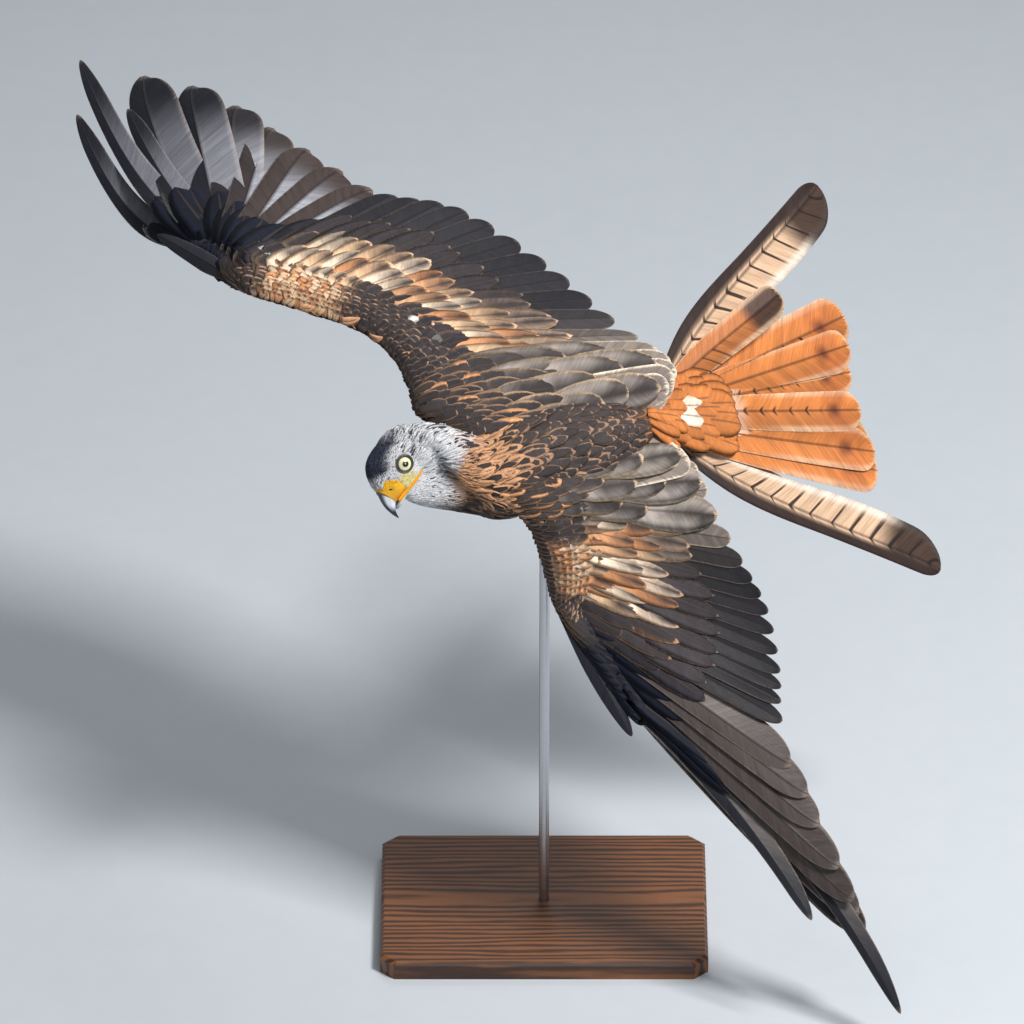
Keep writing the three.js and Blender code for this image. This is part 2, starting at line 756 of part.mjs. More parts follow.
// The tail: twelve feathers from a short core. Places count from -6, the left outer, to 6.
const tailRoot = onBody(-97, 0, 2);
const tailNormal = vec([0.7, 0.45, 1]).normalize();
const tailTips = [
  [-6, 286, -149, -133],
  [-5, 135, -79, -65],
  [-4, 223, -53, -131],
  [-3, 220, -35, -133],
  [-2, 213, -22, -137],
  [-1, 206, -9, -143],
  [1, 205, 5, -144],
  [2, 196, 43, -156],
  [3, 195, 70, -164],
  [4, 192, 99, -174],
  [5, 127, 120, -103],
  [6, 168, 229, -212],
];
const tailWidths = { 1: 42, 2: 42, 3: 46, 4: 54, 5: 36, 6: 54 };
const tailBow = { 5: 4, 6: 12 }; // how far the outer feathers bend outwards near their roots
const tailFeather = [
  [0, 0.12, 0.12],
  [0.25, 0.34, 0.38],
  [0.6, 0.44, 0.5],
  [0.9, 0.48, 0.52],
  [0.97, 0.4, 0.44],
  [1, 0.2, 0.24],
];
const outerTailFeather = [
  [0, 0.12, 0.12],
  [0.25, 0.32, 0.36],
  [0.6, 0.27, 0.62],
  [0.88, 0.26, 0.64],
  [0.97, 0.22, 0.46],
  [1, 0.14, 0.24],
];

// A feather between two points whose outer web is on the side given, sinking below the middle one.
function tailVaneOf(root, tip, normal, out, width, outline, thickness, bow = 0, spread = 0) {
  const at = (s) =>
    root
      .clone()
      .lerp(tip, s)
      .addScaledVector(normal, bow * 4 * s * (1 - s))
      .addScaledVector(out, spread * 6.75 * s * (1 - s) * (1 - s));
  return plate(
    outline.map(([s, outerShare, innerShare]) => {
      const along = at(Math.min(s + 0.05, 1)).sub(at(Math.max(s - 0.05, 0))).normalize();
      const across = out.clone().addScaledVector(along, -out.dot(along)).normalize();
      return {
        outer: at(s).addScaledVector(across, outerShare * width),
        inner: at(s).addScaledVector(across, -innerShare * width),
        normal: new THREE.Vector3().crossVectors(along, across).normalize(),
      };
    }),
    thickness,
  );
}

function tailOf() {
  const backwards = vec(tailTips[5].slice(1)).add(vec(tailTips[6].slice(1))).normalize();
  const across = new THREE.Vector3().crossVectors(backwards, tailNormal).normalize();
  if (across.dot(body.right) < 0) across.negate();
  const layer = (place) => -Math.abs(place) * (tailVane + vaneGap) + (place === 1 ? 0.55 : 0) + 3;
  const vanes = tailTips.map(([place, x, y, z]) => {
    const down = layer(place);
    const root = tailRoot.clone().addScaledVector(across, place * 3).addScaledVector(tailNormal, down);
    root.addScaledVector(backwards, 14);
    const tip = tailRoot.clone().add(vec([x, y, z])).addScaledVector(tailNormal, down);
    const out = across.clone().multiplyScalar(Math.sign(place));
    const number = Math.abs(place);
    const outline = number === 6 ? outerTailFeather : tailFeather;
    const spread = tailBow[number] ?? 0;
    return tailVaneOf(root, tip, tailNormal, out, tailWidths[number], outline, tailVane, -2, spread);
  });
  const core = loft([
    ringAt(onBody(-95 - partingGap, 0, 0), body.right, body.up, [17, 13, 14], 16),
    ringAt(tailRoot.clone().addScaledVector(backwards, 14), across, tailNormal, [21, 12, 14], 16),
    ringAt(tailRoot.clone().addScaledVector(backwards, 44), across, tailNormal, [24, 7, 11], 16),
    ringAt(tailRoot.clone().addScaledVector(backwards, 66), across, tailNormal, [16, 2, 4], 16),
  ]);
  const covert = (place, reach, lift, width) => {
    const root = tailRoot.clone().addScaledVector(across, place * 7).addScaledVector(backwards, 12);
    root.addScaledVector(tailNormal, lift * 0.8);
    const tip = tailRoot.clone().addScaledVector(across, place * 15).addScaledVector(backwards, reach);
    tip.addScaledVector(tailNormal, lift);
    const out = across.clone().multiplyScalar(place < 0 ? -1 : 1);
    return tailVaneOf(root, tip, tailNormal, out, width, covertFeather, covertVane);
  };
  const over = (place, i) => covert(place, 88 - 6 * Math.abs(place), 6 + i * 1.1, 30);
  const coverts = [-2, -1, 1, 2, 0].map(over);
  const under = [-1.5, 1.5, 0].map((place, i) => covert(place, 96, -8 - i * 1.1, 32));
  return join([core, ...vanes, ...coverts, ...under]);
}

// Legs drawn up under the tail: a feathered thigh, then the bare shank with clenched toes.
function thighOf(side) {
  const rings = [
    [2, 20, -36, 14],
    [-12, 22, -42, 18],
    [-34, 22, -45, 17],
    [-56, 20, -45, 12],
    [-74, 18, -43, 6.5],
  ];
  return loft(rings.map(([ahead, right, up, size]) =>
    ringAt(onBody(ahead, side * right, up), body.right, body.up, [size, size, size], 12)));
}

const toes = [
  { across: -5, reach: 27, curl: 10 },
  { across: 0, reach: 31, curl: 12 },
  { across: 5, reach: 26, curl: 10 },
  { across: 1, reach: -16, curl: 9 },
];

// How far along and down each joint of a toe lies, as shares of its reach and curl.
const toeBends = [[0, 0], [0.6, -0.1], [0.95, 0.6], [1, 1.1], [0.86, 1.6]];

function footOf(side) {
  const ankle = [-117, 16, -43];
  const at = (ahead, right, up) => onBody(ahead, side * right, up);
  const shank = strand([at(-74 - partingGap, 18, -43), at(-95, 17, -43), at(...ankle)], [3.8, 3.4, 4], 7);
  const pad = ball(at(ankle[0] - 2, ankle[1], ankle[2]), 5.2, 7, 5);
  const digits = toes.map(({ across, reach, curl }) => {
    const [a, r, u] = ankle;
    const joint = ([share, drop]) => at(a - reach * share, r + across * (0.5 + share), u - curl * drop);
    return strand(toeBends.map(joint), [3, 2.7, 2.2, 1.4, 0.3], 5);
  });
  return join([shank, pad, ...digits]);
}

// The stand
const baseSize = [320, 240, 18];
const rodRadius = 5;
const rodDepth = 34; // how far the rod goes into the belly
const rodSeat = 12; // how far its foot goes into the base
const bird = new THREE.Group();
bird.rotation.x = radians(bankAngle);
const held = onBody(rodUnder, 0, 0).applyEuler(bird.rotation);
bird.position.set(-held.x, -held.y, flightHeight);
bird.updateMatrixWorld(true);

function slab([length, depth, height], corner) {
  const ring = (inset, z) => {
    const [x, y, c] = [length / 2 - inset, depth / 2 - inset, corner];
    const back = [[x, y - c], [x - c, y], [c - x, y], [-x, y - c]];
    const corners = [...back, ...back.map(([px, py]) => [-px, -py])];
    return corners.map(([px, py]) => vec([px, py, z]));
  };
  return loft([ring(0, 0), ring(0, height - 3), ring(3, height)]);
}

function rodBetween(bottom, top, radius) {
  const rod = new THREE.CylinderGeometry(radius, radius, top - bottom, 20);
  return manifoldOf(rod.rotateX(Math.PI / 2).translate(0, 0, (bottom + top) / 2));
}

const rodFoot = baseSize[2] - rodSeat;
const rodTop = bird.localToWorld(onBody(rodUnder, 0, 0)).z - 50 + rodDepth;

const right = setOut(rightWing);
const left = setOut(leftWing);

function addNode(group, name, solid, material) {
  const mesh = new THREE.Mesh(geometryOf(largest(solid)), material);
  mesh.name = name;
  group.add(mesh);
}

// A material from its colour and roughness, with metalness where it has any.
const finish = (color, roughness, metalness = 0) =>
  new THREE.MeshStandardMaterial({ color, roughness, metalness });
const plumage = finish(0x4a3a30, 0.75);
const rufous = finish(0xc8743c, 0.75);
const paleFeather = finish(0xc9c8c4, 0.75);
const yellowSkin = finish(0xe9b62c, 0.5);
const horn = finish(0x8d8f92, 0.35);
const iris = finish(0xd9d28a, 0.1);
const wood = finish(0x5a3b25, 0.5);
const steel = finish(0xb9bcc0, 0.35, 1);

const part = new THREE.Group();
part.add(bird);

const toWorld = (solid) => solid.transform(bird.matrixWorld.toArray());
const toLocal = (solid) => solid.transform(bird.matrixWorld.clone().invert().toArray());

const bore = toLocal(rodBetween(rodFoot, rodTop + partingGap, rodRadius + partingGap));
const grownBody = join([torsoOf(partingGap), neckOf(partingGap)]);
for (const wing of [right, left]) {
  addNode(bird, `wing_${wing.name}_arm`, armOf(wing).subtract(grownBody), plumage);
  addNode(bird, `wing_${wing.name}_hand`, join(handOf(wing)), plumage);
}
addNode(bird, "torso", torsoOf().subtract(bore), plumage);
addNode(bird, "neck", neckOf().subtract(headRoom()).subtract(torsoOf(partingGap)), paleFeather);
addNode(bird, "head", headOf(), paleFeather);
addNode(bird, "cere", cereOf(), yellowSkin);
addNode(bird, "bill_upper", hornOf(), horn);
addNode(bird, "bill_lower", lowerBillOf(), horn);
addNode(bird, "eye_right", ball(eyeCentre(1), eyeRadius), iris);
addNode(bird, "eye_left", ball(eyeCentre(-1), eyeRadius), iris);
addNode(bird, "tail", tailOf(), rufous);
for (const [name, side] of [["right", 1], ["left", -1]]) {
  addNode(bird, `thigh_${name}`, thighOf(side).subtract(grownBody).subtract(bore), plumage);
  addNode(bird, `foot_${name}`, footOf(side), yellowSkin);
}
const seat = rodBetween(rodFoot - partingGap, 100, rodRadius + partingGap);
addNode(part, "stand_base", slab(baseSize, 14).subtract(seat), wood);
addNode(part, "stand_rod", rodBetween(rodFoot, rodTop, rodRadius), steel);

export default part;
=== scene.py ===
import math

import bpy
import numpy as np
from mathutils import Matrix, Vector
from mathutils.bvhtree import BVHTree


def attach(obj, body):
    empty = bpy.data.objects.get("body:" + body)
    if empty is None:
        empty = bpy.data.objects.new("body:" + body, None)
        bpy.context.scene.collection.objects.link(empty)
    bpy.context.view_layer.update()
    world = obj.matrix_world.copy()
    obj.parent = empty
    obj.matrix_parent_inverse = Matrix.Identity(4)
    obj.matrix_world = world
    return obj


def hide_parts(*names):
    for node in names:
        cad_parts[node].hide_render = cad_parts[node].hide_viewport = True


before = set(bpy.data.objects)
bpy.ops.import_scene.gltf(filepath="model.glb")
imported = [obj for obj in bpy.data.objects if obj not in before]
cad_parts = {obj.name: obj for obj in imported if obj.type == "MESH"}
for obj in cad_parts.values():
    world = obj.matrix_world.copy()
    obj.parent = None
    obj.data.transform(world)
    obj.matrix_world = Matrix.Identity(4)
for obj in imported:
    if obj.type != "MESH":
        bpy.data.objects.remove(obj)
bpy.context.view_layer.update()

draw = np.random.default_rng(11)

flight = {
    "bank": 60,  # degrees from level
    "height": 540,  # mm, the flight frame's origin over the floor
    "rodUnder": 24,  # mm ahead of the body's middle
}


def unit(v):
    return v / np.maximum(np.linalg.norm(v, axis=-1, keepdims=True), 1e-9)


def smooth(t):
    t = np.clip(t, 0, 1)
    return t * t * (3 - 2 * t)


def mix(a, b, t):
    return a + (b - a) * t


def dot(a, b):
    return (a * b).sum(-1, keepdims=True)


def stepsOf(line):
    return np.linalg.norm(np.diff(line, axis=-2), axis=-1)


# Angles once round, the first not repeated
def onceRound(count):
    return np.linspace(0, 2 * math.pi, count, endpoint=False)


# A smooth curve through keys of place, x, y, z, read at any places and straight on past its ends
def curveThrough(keys):
    keys = np.array(keys, float)
    places, values = keys[:, 0], keys[:, 1:]
    last = len(places) - 1
    before = np.maximum(np.arange(last + 1) - 1, 0)
    after = np.minimum(np.arange(last + 1) + 1, last)
    slopes = (values[after] - values[before]) / (places[after] - places[before])[:, None]

    def at(place):
        place = np.asarray(place, float)
        i = np.clip(np.searchsorted(places, place, side="right") - 1, 0, last - 1)
        span = (places[i + 1] - places[i])[..., None]
        t = (place - places[i])[..., None] / span
        inside = np.clip(t, 0, 1)
        t2, t3 = inside**2, inside**3
        value = values[i] * (2 * t3 - 3 * t2 + 1) + slopes[i] * (t3 - 2 * t2 + inside) * span
        value = value + values[i + 1] * (3 * t2 - 2 * t3) + slopes[i + 1] * (t3 - t2) * span
        end = np.where(t[..., 0] > 1, i + 1, i)
        return value + slopes[end] * (t - inside) * span

    return at


def numberThrough(keys):
    curve = curveThrough(keys)
    return lambda place: curve(place)[..., 0]


# The wings, set out on three curves whose places count the flight feathers from the body outwards:
# lead is the leading edge, core the line where the flight feathers leave the arm, tip their ends
rightWing = {
    "name": "right",
    "side": 1,
    "spread": 1,
    "fingerSpread": 1,
    "bow": [[19, 0], [20, 24], [21, 34], [22, 60], [23, 86]],
    "fingerFacing": [-0.3, 0.42, 0.86],
    "alulaTip": [-389, 190, -84],
    "lead": [
        [-3, -96, -12, 36], [0, -138, 16, 34], [2, -145, 38, 27], [4, -160, 68, 14],
        [7, -191, 94, 4], [10, -237, 111, -2], [13.5, -298, 130, 0], [16, -328, 144, -24],
        [19, -346, 163, -54], [23, -362, 174, -84],
    ],
    "core": [
        [-3, -10, 2, 14], [0, -50, 34, 16], [2, -86, 64, 6], [4, -124, 98, -12],
        [7, -170, 124, -26], [10, -222, 144, -28], [13.5, -288, 160, -20], [16, -307, 172, -40],
        [19, -321, 180, -66], [23, -338, 182, -90],
    ],
    "tip": [
        [-3, 100, 31, -34], [0, 113, 56, -42], [2, 95, 77, -58], [4, 53, 109, -118],
        [7, -14, 166, -158], [10, -91, 215, -178], [13, -161, 231, -190], [14, -182, 236, -204],
        [15, -212, 255, -222], [16, -245, 277, -248], [17, -281, 300, -284], [18, -317, 324, -326],
        [19, -363, 346, -372], [20, -412, 357, -400], [22, -475, 370, -342], [23, -476, 314, -292],
    ],
}
leftWing = {
    "name": "left",
    "side": -1,
    "spread": 0.7,
    "fingerSpread": 0.88,
    "bow": [[15, 0], [19, 6], [21, 0], [22, -44], [23, -12]],
    "fingerFacing": [-0.1, -0.16, 0.98],
    "alulaTip": [69, -294, 2],
    "lead": [
        [-3, -76, -44, 52], [0, -50, -72, 54], [2, -38, -84, 51], [4, -28, -97, 46],
        [7, -20, -120, 37], [10, -14, -142, 27], [13.5, -6, -168, 16], [16, 14, -202, 11],
        [19, 38, -237, 6], [23, 68, -276, 0],
    ],
    "core": [
        [-3, -4, -34, 30], [0, 10, -60, 36], [2, 20, -75, 35], [4, 27, -93, 32],
        [7, 32, -118, 27], [10, 31, -143, 20], [13.5, 22, -172, 11], [16, 37, -198, 7],
        [19, 57, -230, 2], [23, 79, -269, -3],
    ],
    "tip": [
        [-3, 104, -9, -32], [0, 133, -36, -38], [2, 153, -81, -58], [4, 177, -125, -78],
        [7, 202, -173, -76], [10, 213, -231, -46], [13, 214, -279, -12], [14, 223, -320, -8],
        [15, 239, -349, -6], [16, 250, -378, -6], [17, 269, -419, -8], [18, 283, -451, -14],
        [20, 295, -483, -36], [22, 328, -562, -30], [23, 242, -471, -12],
    ],
}
curlKeys = [[0, 0], [4, 4], [13, 5], [17, -6], [20, -16], [23, -22]]  # upward bend of the feathers
armThickness = numberThrough([[-3, 18], [0, 16], [3, 14], [7, 11], [10, 9], [13.5, 8], [17, 6.5], [23, 4.5]])
armSection = numberThrough([[0, 0], [0.06, 0.5], [0.2, 0.88], [0.42, 1], [0.7, 0.7], [1, 0.26], [1.25, 0]])


# Adds to a wing the places on it: v is 0 at the leading edge, 1 at the core line and 2 at the tips
def setOut(wing):
    lead, core, tip = (curveThrough(wing[key]) for key in ("lead", "core", "tip"))
    curl, bow = numberThrough(curlKeys), numberThrough(wing["bow"])
    bowFrom, step = wing["bow"][0][0], 0.5

    def broadNormal(k):
        chord = unit(tip(k) - lead(k))
        a = np.clip(k - step, 0, 21)
        b = a + 2 * step
        out = core(b) + lead(b) - core(a) - lead(a)
        return unit(np.cross(chord, out) * wing["side"])

    def point(k, v):
        k, v = (x.astype(float) for x in np.broadcast_arrays(k, v))
        a, c, front = core(k), tip(k), lead(k)
        n = broadNormal(k)
        forwards = unit(np.cross(n, c - a)) * wing["side"]
        bend = (a + c) / 2 + n * curl(k)[..., None]
        bend = bend + forwards * np.where(k > bowFrom, bow(k), 0)[..., None]
        t = (v - 1)[..., None]
        beyond = a * (1 - t) ** 2 + bend * 2 * t * (1 - t) + c * t * t
        return np.where(t <= 0, front + (a - front) * v[..., None], beyond)

    def normal(place, v):
        place, v = (x.astype(float) for x in np.broadcast_arrays(place, v))
        k = np.minimum(place, 20.5)
        along = point(k, v + 0.04) - point(k, v - 0.04)
        out = point(k + step, v) - point(k - step, v)
        n = unit(np.cross(along, out) * wing["side"])
        turn = (smooth((place - 15.5) / 4) * smooth((v - 0.9) / 0.8))[..., None]
        return unit(mix(n, np.array(wing["fingerFacing"], float), turn))

    wing.update(point=point, normal=normal, leadAt=lead)


sides = (("right", 1), ("left", -1))
wings = (rightWing, leftWing)
for wing in wings:
    setOut(wing)


# The body's and the head's own axes
outOfBack = np.array([0, 0, 1.0])


def axesFrom(flat, pitch, roll):
    flat = unit(np.array(flat, float))
    p, r = math.radians(pitch), math.radians(roll)
    ahead = flat * math.cos(p) + outOfBack * math.sin(p)
    flatUp = outOfBack * math.cos(p) - flat * math.sin(p)
    up = flatUp * math.cos(r) + np.cross(ahead, flatUp) * math.sin(r)
    return {"ahead": ahead, "up": up, "right": np.cross(ahead, up)}


body = axesFrom([-0.942, -0.336, 0], 25, 30)
body["centre"] = np.array([5.8, -15.4, -8])


def headAxes(yaw, tip):
    flat, flatUp = unit(np.array([-0.53, -0.85, 0])), unit(np.array([-0.85, 0.53, 0]))
    ahead = flat * math.cos(math.radians(yaw)) + outOfBack * math.sin(math.radians(yaw))
    side = np.cross(ahead, flatUp)
    side = side * np.sign(side[2])
    up = flatUp * math.cos(math.radians(tip)) + side * math.sin(math.radians(tip))
    left = np.cross(up, ahead)
    return {"ahead": ahead, "up": up, "right": -left * np.sign(left[2])}


head = headAxes(22, 24)
head["centre"] = np.array([-159.6, -35.9, 58])


def onAxes(axes, ahead, right, up):
    ahead, right, up = (np.asarray(x, float)[..., None] for x in (ahead, right, up))
    return axes["centre"] + axes["ahead"] * ahead + axes["right"] * right + axes["up"] * up


def inAxes(axes, points):
    away = points - axes["centre"]
    return [(away @ axes[key]) for key in ("ahead", "right", "up")]


def fromHead(points):
    return np.linalg.norm(points - head["centre"], axis=-1)


bank = math.radians(flight["bank"])
bankTurn = np.array([
    [1, 0, 0],
    [0, math.cos(bank), -math.sin(bank)],
    [0, math.sin(bank), math.cos(bank)],
])
held = bankTurn @ onAxes(body, flight["rodUnder"], 0, 0)
flightPlace = np.array([-held[0], -held[1], flight["height"]])


def toWorld(points):
    return (points @ bankTurn.T + flightPlace) / 1000


def toFlight(points):
    return (points * 1000 - flightPlace) @ bankTurn


def meshFrom(name, points, faces):
    mesh = bpy.data.meshes.new(name)
    points = toWorld(np.asarray(points, float).reshape(-1, 3)).astype(np.float32)
    mesh.vertices.add(len(points))
    mesh.vertices.foreach_set("co", points.ravel())
    corners = np.concatenate([f.ravel() for f in faces]).astype(np.int32)
    sizes = np.concatenate([np.full(len(f), f.shape[1]) for f in faces])
    mesh.loops.add(len(corners))
    mesh.loops.foreach_set("vertex_index", corners)
    mesh.polygons.add(len(sizes))
    mesh.polygons.foreach_set("loop_start", (np.cumsum(sizes) - sizes).astype(np.int32))
    mesh.update(calc_edges=True)
    mesh.shade_smooth()
    thing = bpy.data.objects.new(name, mesh)
    bpy.context.scene.collection.objects.link(thing)
    return thing


def setColour(thing, name, colours):
    layer = thing.data.attributes.new(name, "FLOAT_COLOR", "POINT")
    full = np.ones((len(colours), 4), np.float32)
    full[:, :3] = colours
    layer.data.foreach_set("color", full.ravel())


def setVector(thing, name, values):
    layer = thing.data.attributes.new(name, "FLOAT_VECTOR", "POINT")
    layer.data.foreach_set("vector", np.asarray(values, np.float32).ravel())


def setBakeMap(thing, uv):
    corners = np.empty(len(thing.data.loops), np.int32)
    thing.data.loops.foreach_get("vertex_index", corners)
    layer = thing.data.uv_layers.new(name="OFBake")
    layer.data.foreach_set("uv", np.asarray(uv, np.float32)[corners].ravel())


def linear(*srgb):
    c = np.array(srgb, float) / 255
    return np.where(c <= 0.04045, c / 12.92, ((c + 0.055) / 1.055) ** 2.4)


def quadsOf(grid):
    return np.stack([grid[:-1, :-1], grid[1:, :-1], grid[1:, 1:], grid[:-1, 1:]], -1).reshape(-1, 4)


# The same faces for each of many pieces that follow one another with so many points each
def repeated(faces, count, size):
    shift = (np.arange(count) * size)[:, None, None]
    return [(f[None] + shift).reshape(-1, f.shape[1]) for f in faces]


# Faces of many vanes that share one grid: a domed top, a bottom that spans the rims, two ends
def vaneFaces(count, rows, columns):
    grid = np.arange(rows * columns).reshape(rows, columns)
    under = np.stack([grid[:-1, 0], grid[:-1, -1], grid[1:, -1], grid[1:, 0]], -1)
    return repeated((quadsOf(grid), under, np.stack([grid[0], grid[-1, ::-1]])), count, grid.size)


# Two sheets with a rim wall between them, for feathers whose underside shows as well
def slabFaces(count, rows, columns):
    grid = np.arange(rows * columns).reshape(rows, columns)
    rim = np.concatenate([grid[0, :], grid[1:, -1], grid[-1, :-1][::-1], grid[1:-1, 0][::-1]])
    lowRim = rim + grid.size
    wall = np.stack([rim, np.roll(rim, -1), np.roll(lowRim, -1), lowRim], -1)
    bottom = quadsOf(grid + grid.size)[:, [0, 3, 2, 1]]
    return repeated((quadsOf(grid), bottom, wall), count, 2 * grid.size)


# Lays vanes along spines of (feather, station, 3). plus and minus are the half widths on each side
def layVanes(spine, normal, plus, minus, columns, slope=0.0, camber=0.08, shaft=None):
    along = unit(np.gradient(spine, axis=1))
    across = unit(np.cross(normal, along))
    across = unit(across + normal * np.asarray(slope)[..., None])
    up = unit(np.cross(along, across))
    c = np.asarray(columns, float)
    reach = np.where(c > 0, c * plus[..., None], c * minus[..., None])
    rise = camber * (1 - c**2) * (plus + minus)[..., None] / 2
    if shaft is not None:
        near = np.abs(c) < 0.05
        reach = np.where(near, np.sign(c) * shaft[..., None], reach)
        rise = rise + np.where(c == 0, shaft[..., None] * 0.9, 0)
    points = spine[:, :, None] + across[:, :, None] * reach[..., None] + up[:, :, None] * rise[..., None]
    return points, up


# Places along a feather, closer together towards its tip
def stationsAt(count):
    return 1 - (1 - np.linspace(0, 1, count)) ** 1.5


def tipRound(s, start, power=2.2):
    t = np.clip((s - start) / (1 - start), 0, 1)
    return np.sqrt(np.maximum(1 - t**power, 0.0004))


# A spine from root to tip that bows towards facing
def bowed(root, tip, s, facing, height):
    return root + (tip - root) * s[:, None] + facing * (height * s * (1 - s))[:, None]


# How much a vane leans across so that it lies over its neighbour
def tileSlope(wing, k, v, out, width):
    place = np.minimum(k, 20.5)
    apart = wing["point"](place + 0.5, v) - wing["point"](place - 0.5, v)
    turned = wing["normal"](place + 0.5, v) - wing["normal"](place - 0.5, v)
    room, turn = np.abs(dot(apart, out))[..., 0], np.abs(dot(turned, out))[..., 0]
    return np.minimum((0.9 + turn * width * 0.4) / np.maximum(room, 1), 0.2)


# A feather's outline, as half widths of the outer and the inner web that round off to the tip
def outlineOf(outer, inner, outerRound, innerRound, power=2.2):
    outer, inner = numberThrough(outer), numberThrough(inner)
    return lambda s: outer(s) * tipRound(s, outerRound, power), lambda s: inner(s) * tipRound(s, innerRound, power)


# Node helpers
def startMaterial(name, **values):
    material = bpy.data.materials.new(name)
    material.use_nodes = True
    surface = material.node_tree.nodes["Principled BSDF"]
    for key, value in values.items():
        surface.inputs[key.replace("_", " ")].default_value = value
    return material, material.node_tree, surface


def node(tree, kind, inputs=None, **settings):
    made = tree.nodes.new(kind)
    for key, value in settings.items():
        setattr(made, key, value)
    for key, value in (inputs or {}).items():
        if isinstance(value, bpy.types.NodeSocket):
            tree.links.new(value, made.inputs[key])
        else:
            made.inputs[key].default_value = value
    return made


def calc(tree, operation, a, b=0.0, clamp=False):
    return node(tree, "ShaderNodeMath", {0: a, 1: b}, operation=operation, use_clamp=clamp).outputs[0]


def times(tree, a, b, clamp=False):
    return calc(tree, "MULTIPLY", a, b, clamp)


def plus(tree, a, b):
    return calc(tree, "ADD", a, b)


def less(tree, a, b):
    return calc(tree, "SUBTRACT", a, b)


def blendOf(tree, factor, a, b, kind="MIX"):
    made = node(tree, "ShaderNodeMix", {0: factor, 6: a, 7: b}, data_type="RGBA", blend_type=kind)
    return made.outputs[2]


def shaded(tree, colour, shade):
    grey = node(tree, "ShaderNodeCombineXYZ", {0: shade, 1: shade, 2: shade}).outputs[0]
    return blendOf(tree, 1.0, colour, grey, "MULTIPLY")


def rampOf(tree, value, low, high, start=0.0, end=1.0):
    inputs = {"Value": value, "From Min": low, "From Max": high, "To Min": start, "To Max": end}
    made = node(tree, "ShaderNodeMapRange", inputs, interpolation_type="SMOOTHSTEP")
    return made.outputs[0]


def noiseOf(tree, vector, scale, detail=2.0, roughness=0.5):
    inputs = {"Vector": vector, "Scale": scale, "Detail": detail, "Roughness": roughness}
    return node(tree, "ShaderNodeTexNoise", inputs).outputs["Fac"]


def attribute(tree, name, kind="Vector"):
    return node(tree, "ShaderNodeAttribute", attribute_name=name).outputs[kind]


def placeOf(tree, stretch=None):
    place = node(tree, "ShaderNodeTexCoord").outputs["Object"]
    return node(tree, "ShaderNodeMapping", {"Vector": place, "Scale": stretch}).outputs[0] if stretch else place


def finishSurface(tree, surface, colour, height, strength, depth):
    if colour is not None:
        tree.links.new(colour, surface.inputs["Base Color"])
    bump = node(tree, "ShaderNodeBump", {"Height": height, "Strength": strength, "Distance": depth})
    tree.links.new(bump.outputs[0], surface.inputs["Normal"])


def rgba(colour, alpha=1.0):
    return (*[float(x) for x in colour], alpha)


# The finish of every feather. vane holds (across -1 to 1, along 0 to 1, half widths of length),
# mark holds (fringe share, bars, a number of its own), and tint and fringe its two colours
def plumageMaterial(name, gloss=0.66, barb=1.0, relief=0.12, shaftTone=(70, 58, 50)):
    material, tree, surface = startMaterial(name, Roughness=gloss, Specular_IOR_Level=0.22)
    x, v, length = node(tree, "ShaderNodeSeparateXYZ", {0: attribute(tree, "vane")}).outputs
    share, bars, own = node(tree, "ShaderNodeSeparateXYZ", {0: attribute(tree, "mark")}).outputs
    a = calc(tree, "ABSOLUTE", x)
    barbs = less(tree, times(tree, v, length), times(tree, a, 0.75))
    lie = {0: times(tree, barbs, 9.0 * barb), 1: times(tree, x, 1.1), 2: times(tree, own, 61.0)}
    lie = node(tree, "ShaderNodeCombineXYZ", lie).outputs[0]
    streak, patch = noiseOf(tree, lie, 1.0, 4.0, 0.65), noiseOf(tree, lie, 0.16, 2.0)
    fromTip = less(tree, 1.0, times(tree, less(tree, 1.0, v), length))
    rim = calc(tree, "MAXIMUM", times(tree, a, a), fromTip)
    rim = plus(tree, rim, times(tree, less(tree, streak, 0.5), 0.5))
    atFringe = rampOf(tree, less(tree, rim, less(tree, 1.0, share)), -0.14, 0.12)
    base = blendOf(tree, atFringe, attribute(tree, "tint", "Color"), attribute(tree, "fringe", "Color"))
    base = shaded(tree, base, rampOf(tree, streak, 0.2, 0.8, 0.72, 1.22))
    base = shaded(tree, base, rampOf(tree, patch, 0.3, 0.7, 0.86, 1.12))
    wobble = times(tree, less(tree, patch, 0.5), 0.5)
    wave = calc(tree, "SINE", times(tree, plus(tree, barbs, wobble), 7.2))
    barMask = times(tree, rampOf(tree, wave, 0.82, 0.96), bars, clamp=True)
    base = blendOf(tree, barMask, base, rgba(linear(38, 30, 28)))
    base = blendOf(tree, times(tree, rampOf(tree, a, 0.1, 0.04), 0.55), base, rgba(linear(*shaftTone)))
    ribs = calc(tree, "SINE", times(tree, barbs, 60.0 * barb))
    finishSurface(tree, surface, base, plus(tree, streak, times(tree, ribs, 0.25)), relief * 4, 0.0004)
    return material


feather = plumageMaterial("plumage")
stiff = plumageMaterial("flightPlumage", gloss=0.42, barb=1.6, shaftTone=(34, 30, 32))

colours = {
    "primaryBlack": linear(30, 31, 38),
    # Inner webs of the primaries: partly their own pale grey, partly painted sheen, brighter on the right wing
    # than on the left
    "primaryGreyAndLitSheen": linear(158, 158, 164),
    "handGreyAndDimSheen": linear(108, 99, 94),
    "greyBrown": linear(132, 119, 110),
    "cream": linear(232, 214, 190),
    "buff": linear(222, 166, 112),
    "darkBrown": linear(58, 43, 36),
    "tail": linear(196, 118, 62),
    "tailCream": linear(236, 208, 176),
    "tailDark": linear(48, 34, 30),
    "yellow": linear(240, 176, 24),
    "orange": linear(232, 140, 24),
    "hornPale": linear(196, 200, 206),
    "hornDark": linear(30, 34, 48),
    "lid": linear(52, 48, 46),
}


# Share of a and b by a factor for each row
def blend(a, b, t):
    return mix(a, b, np.asarray(t)[..., None])
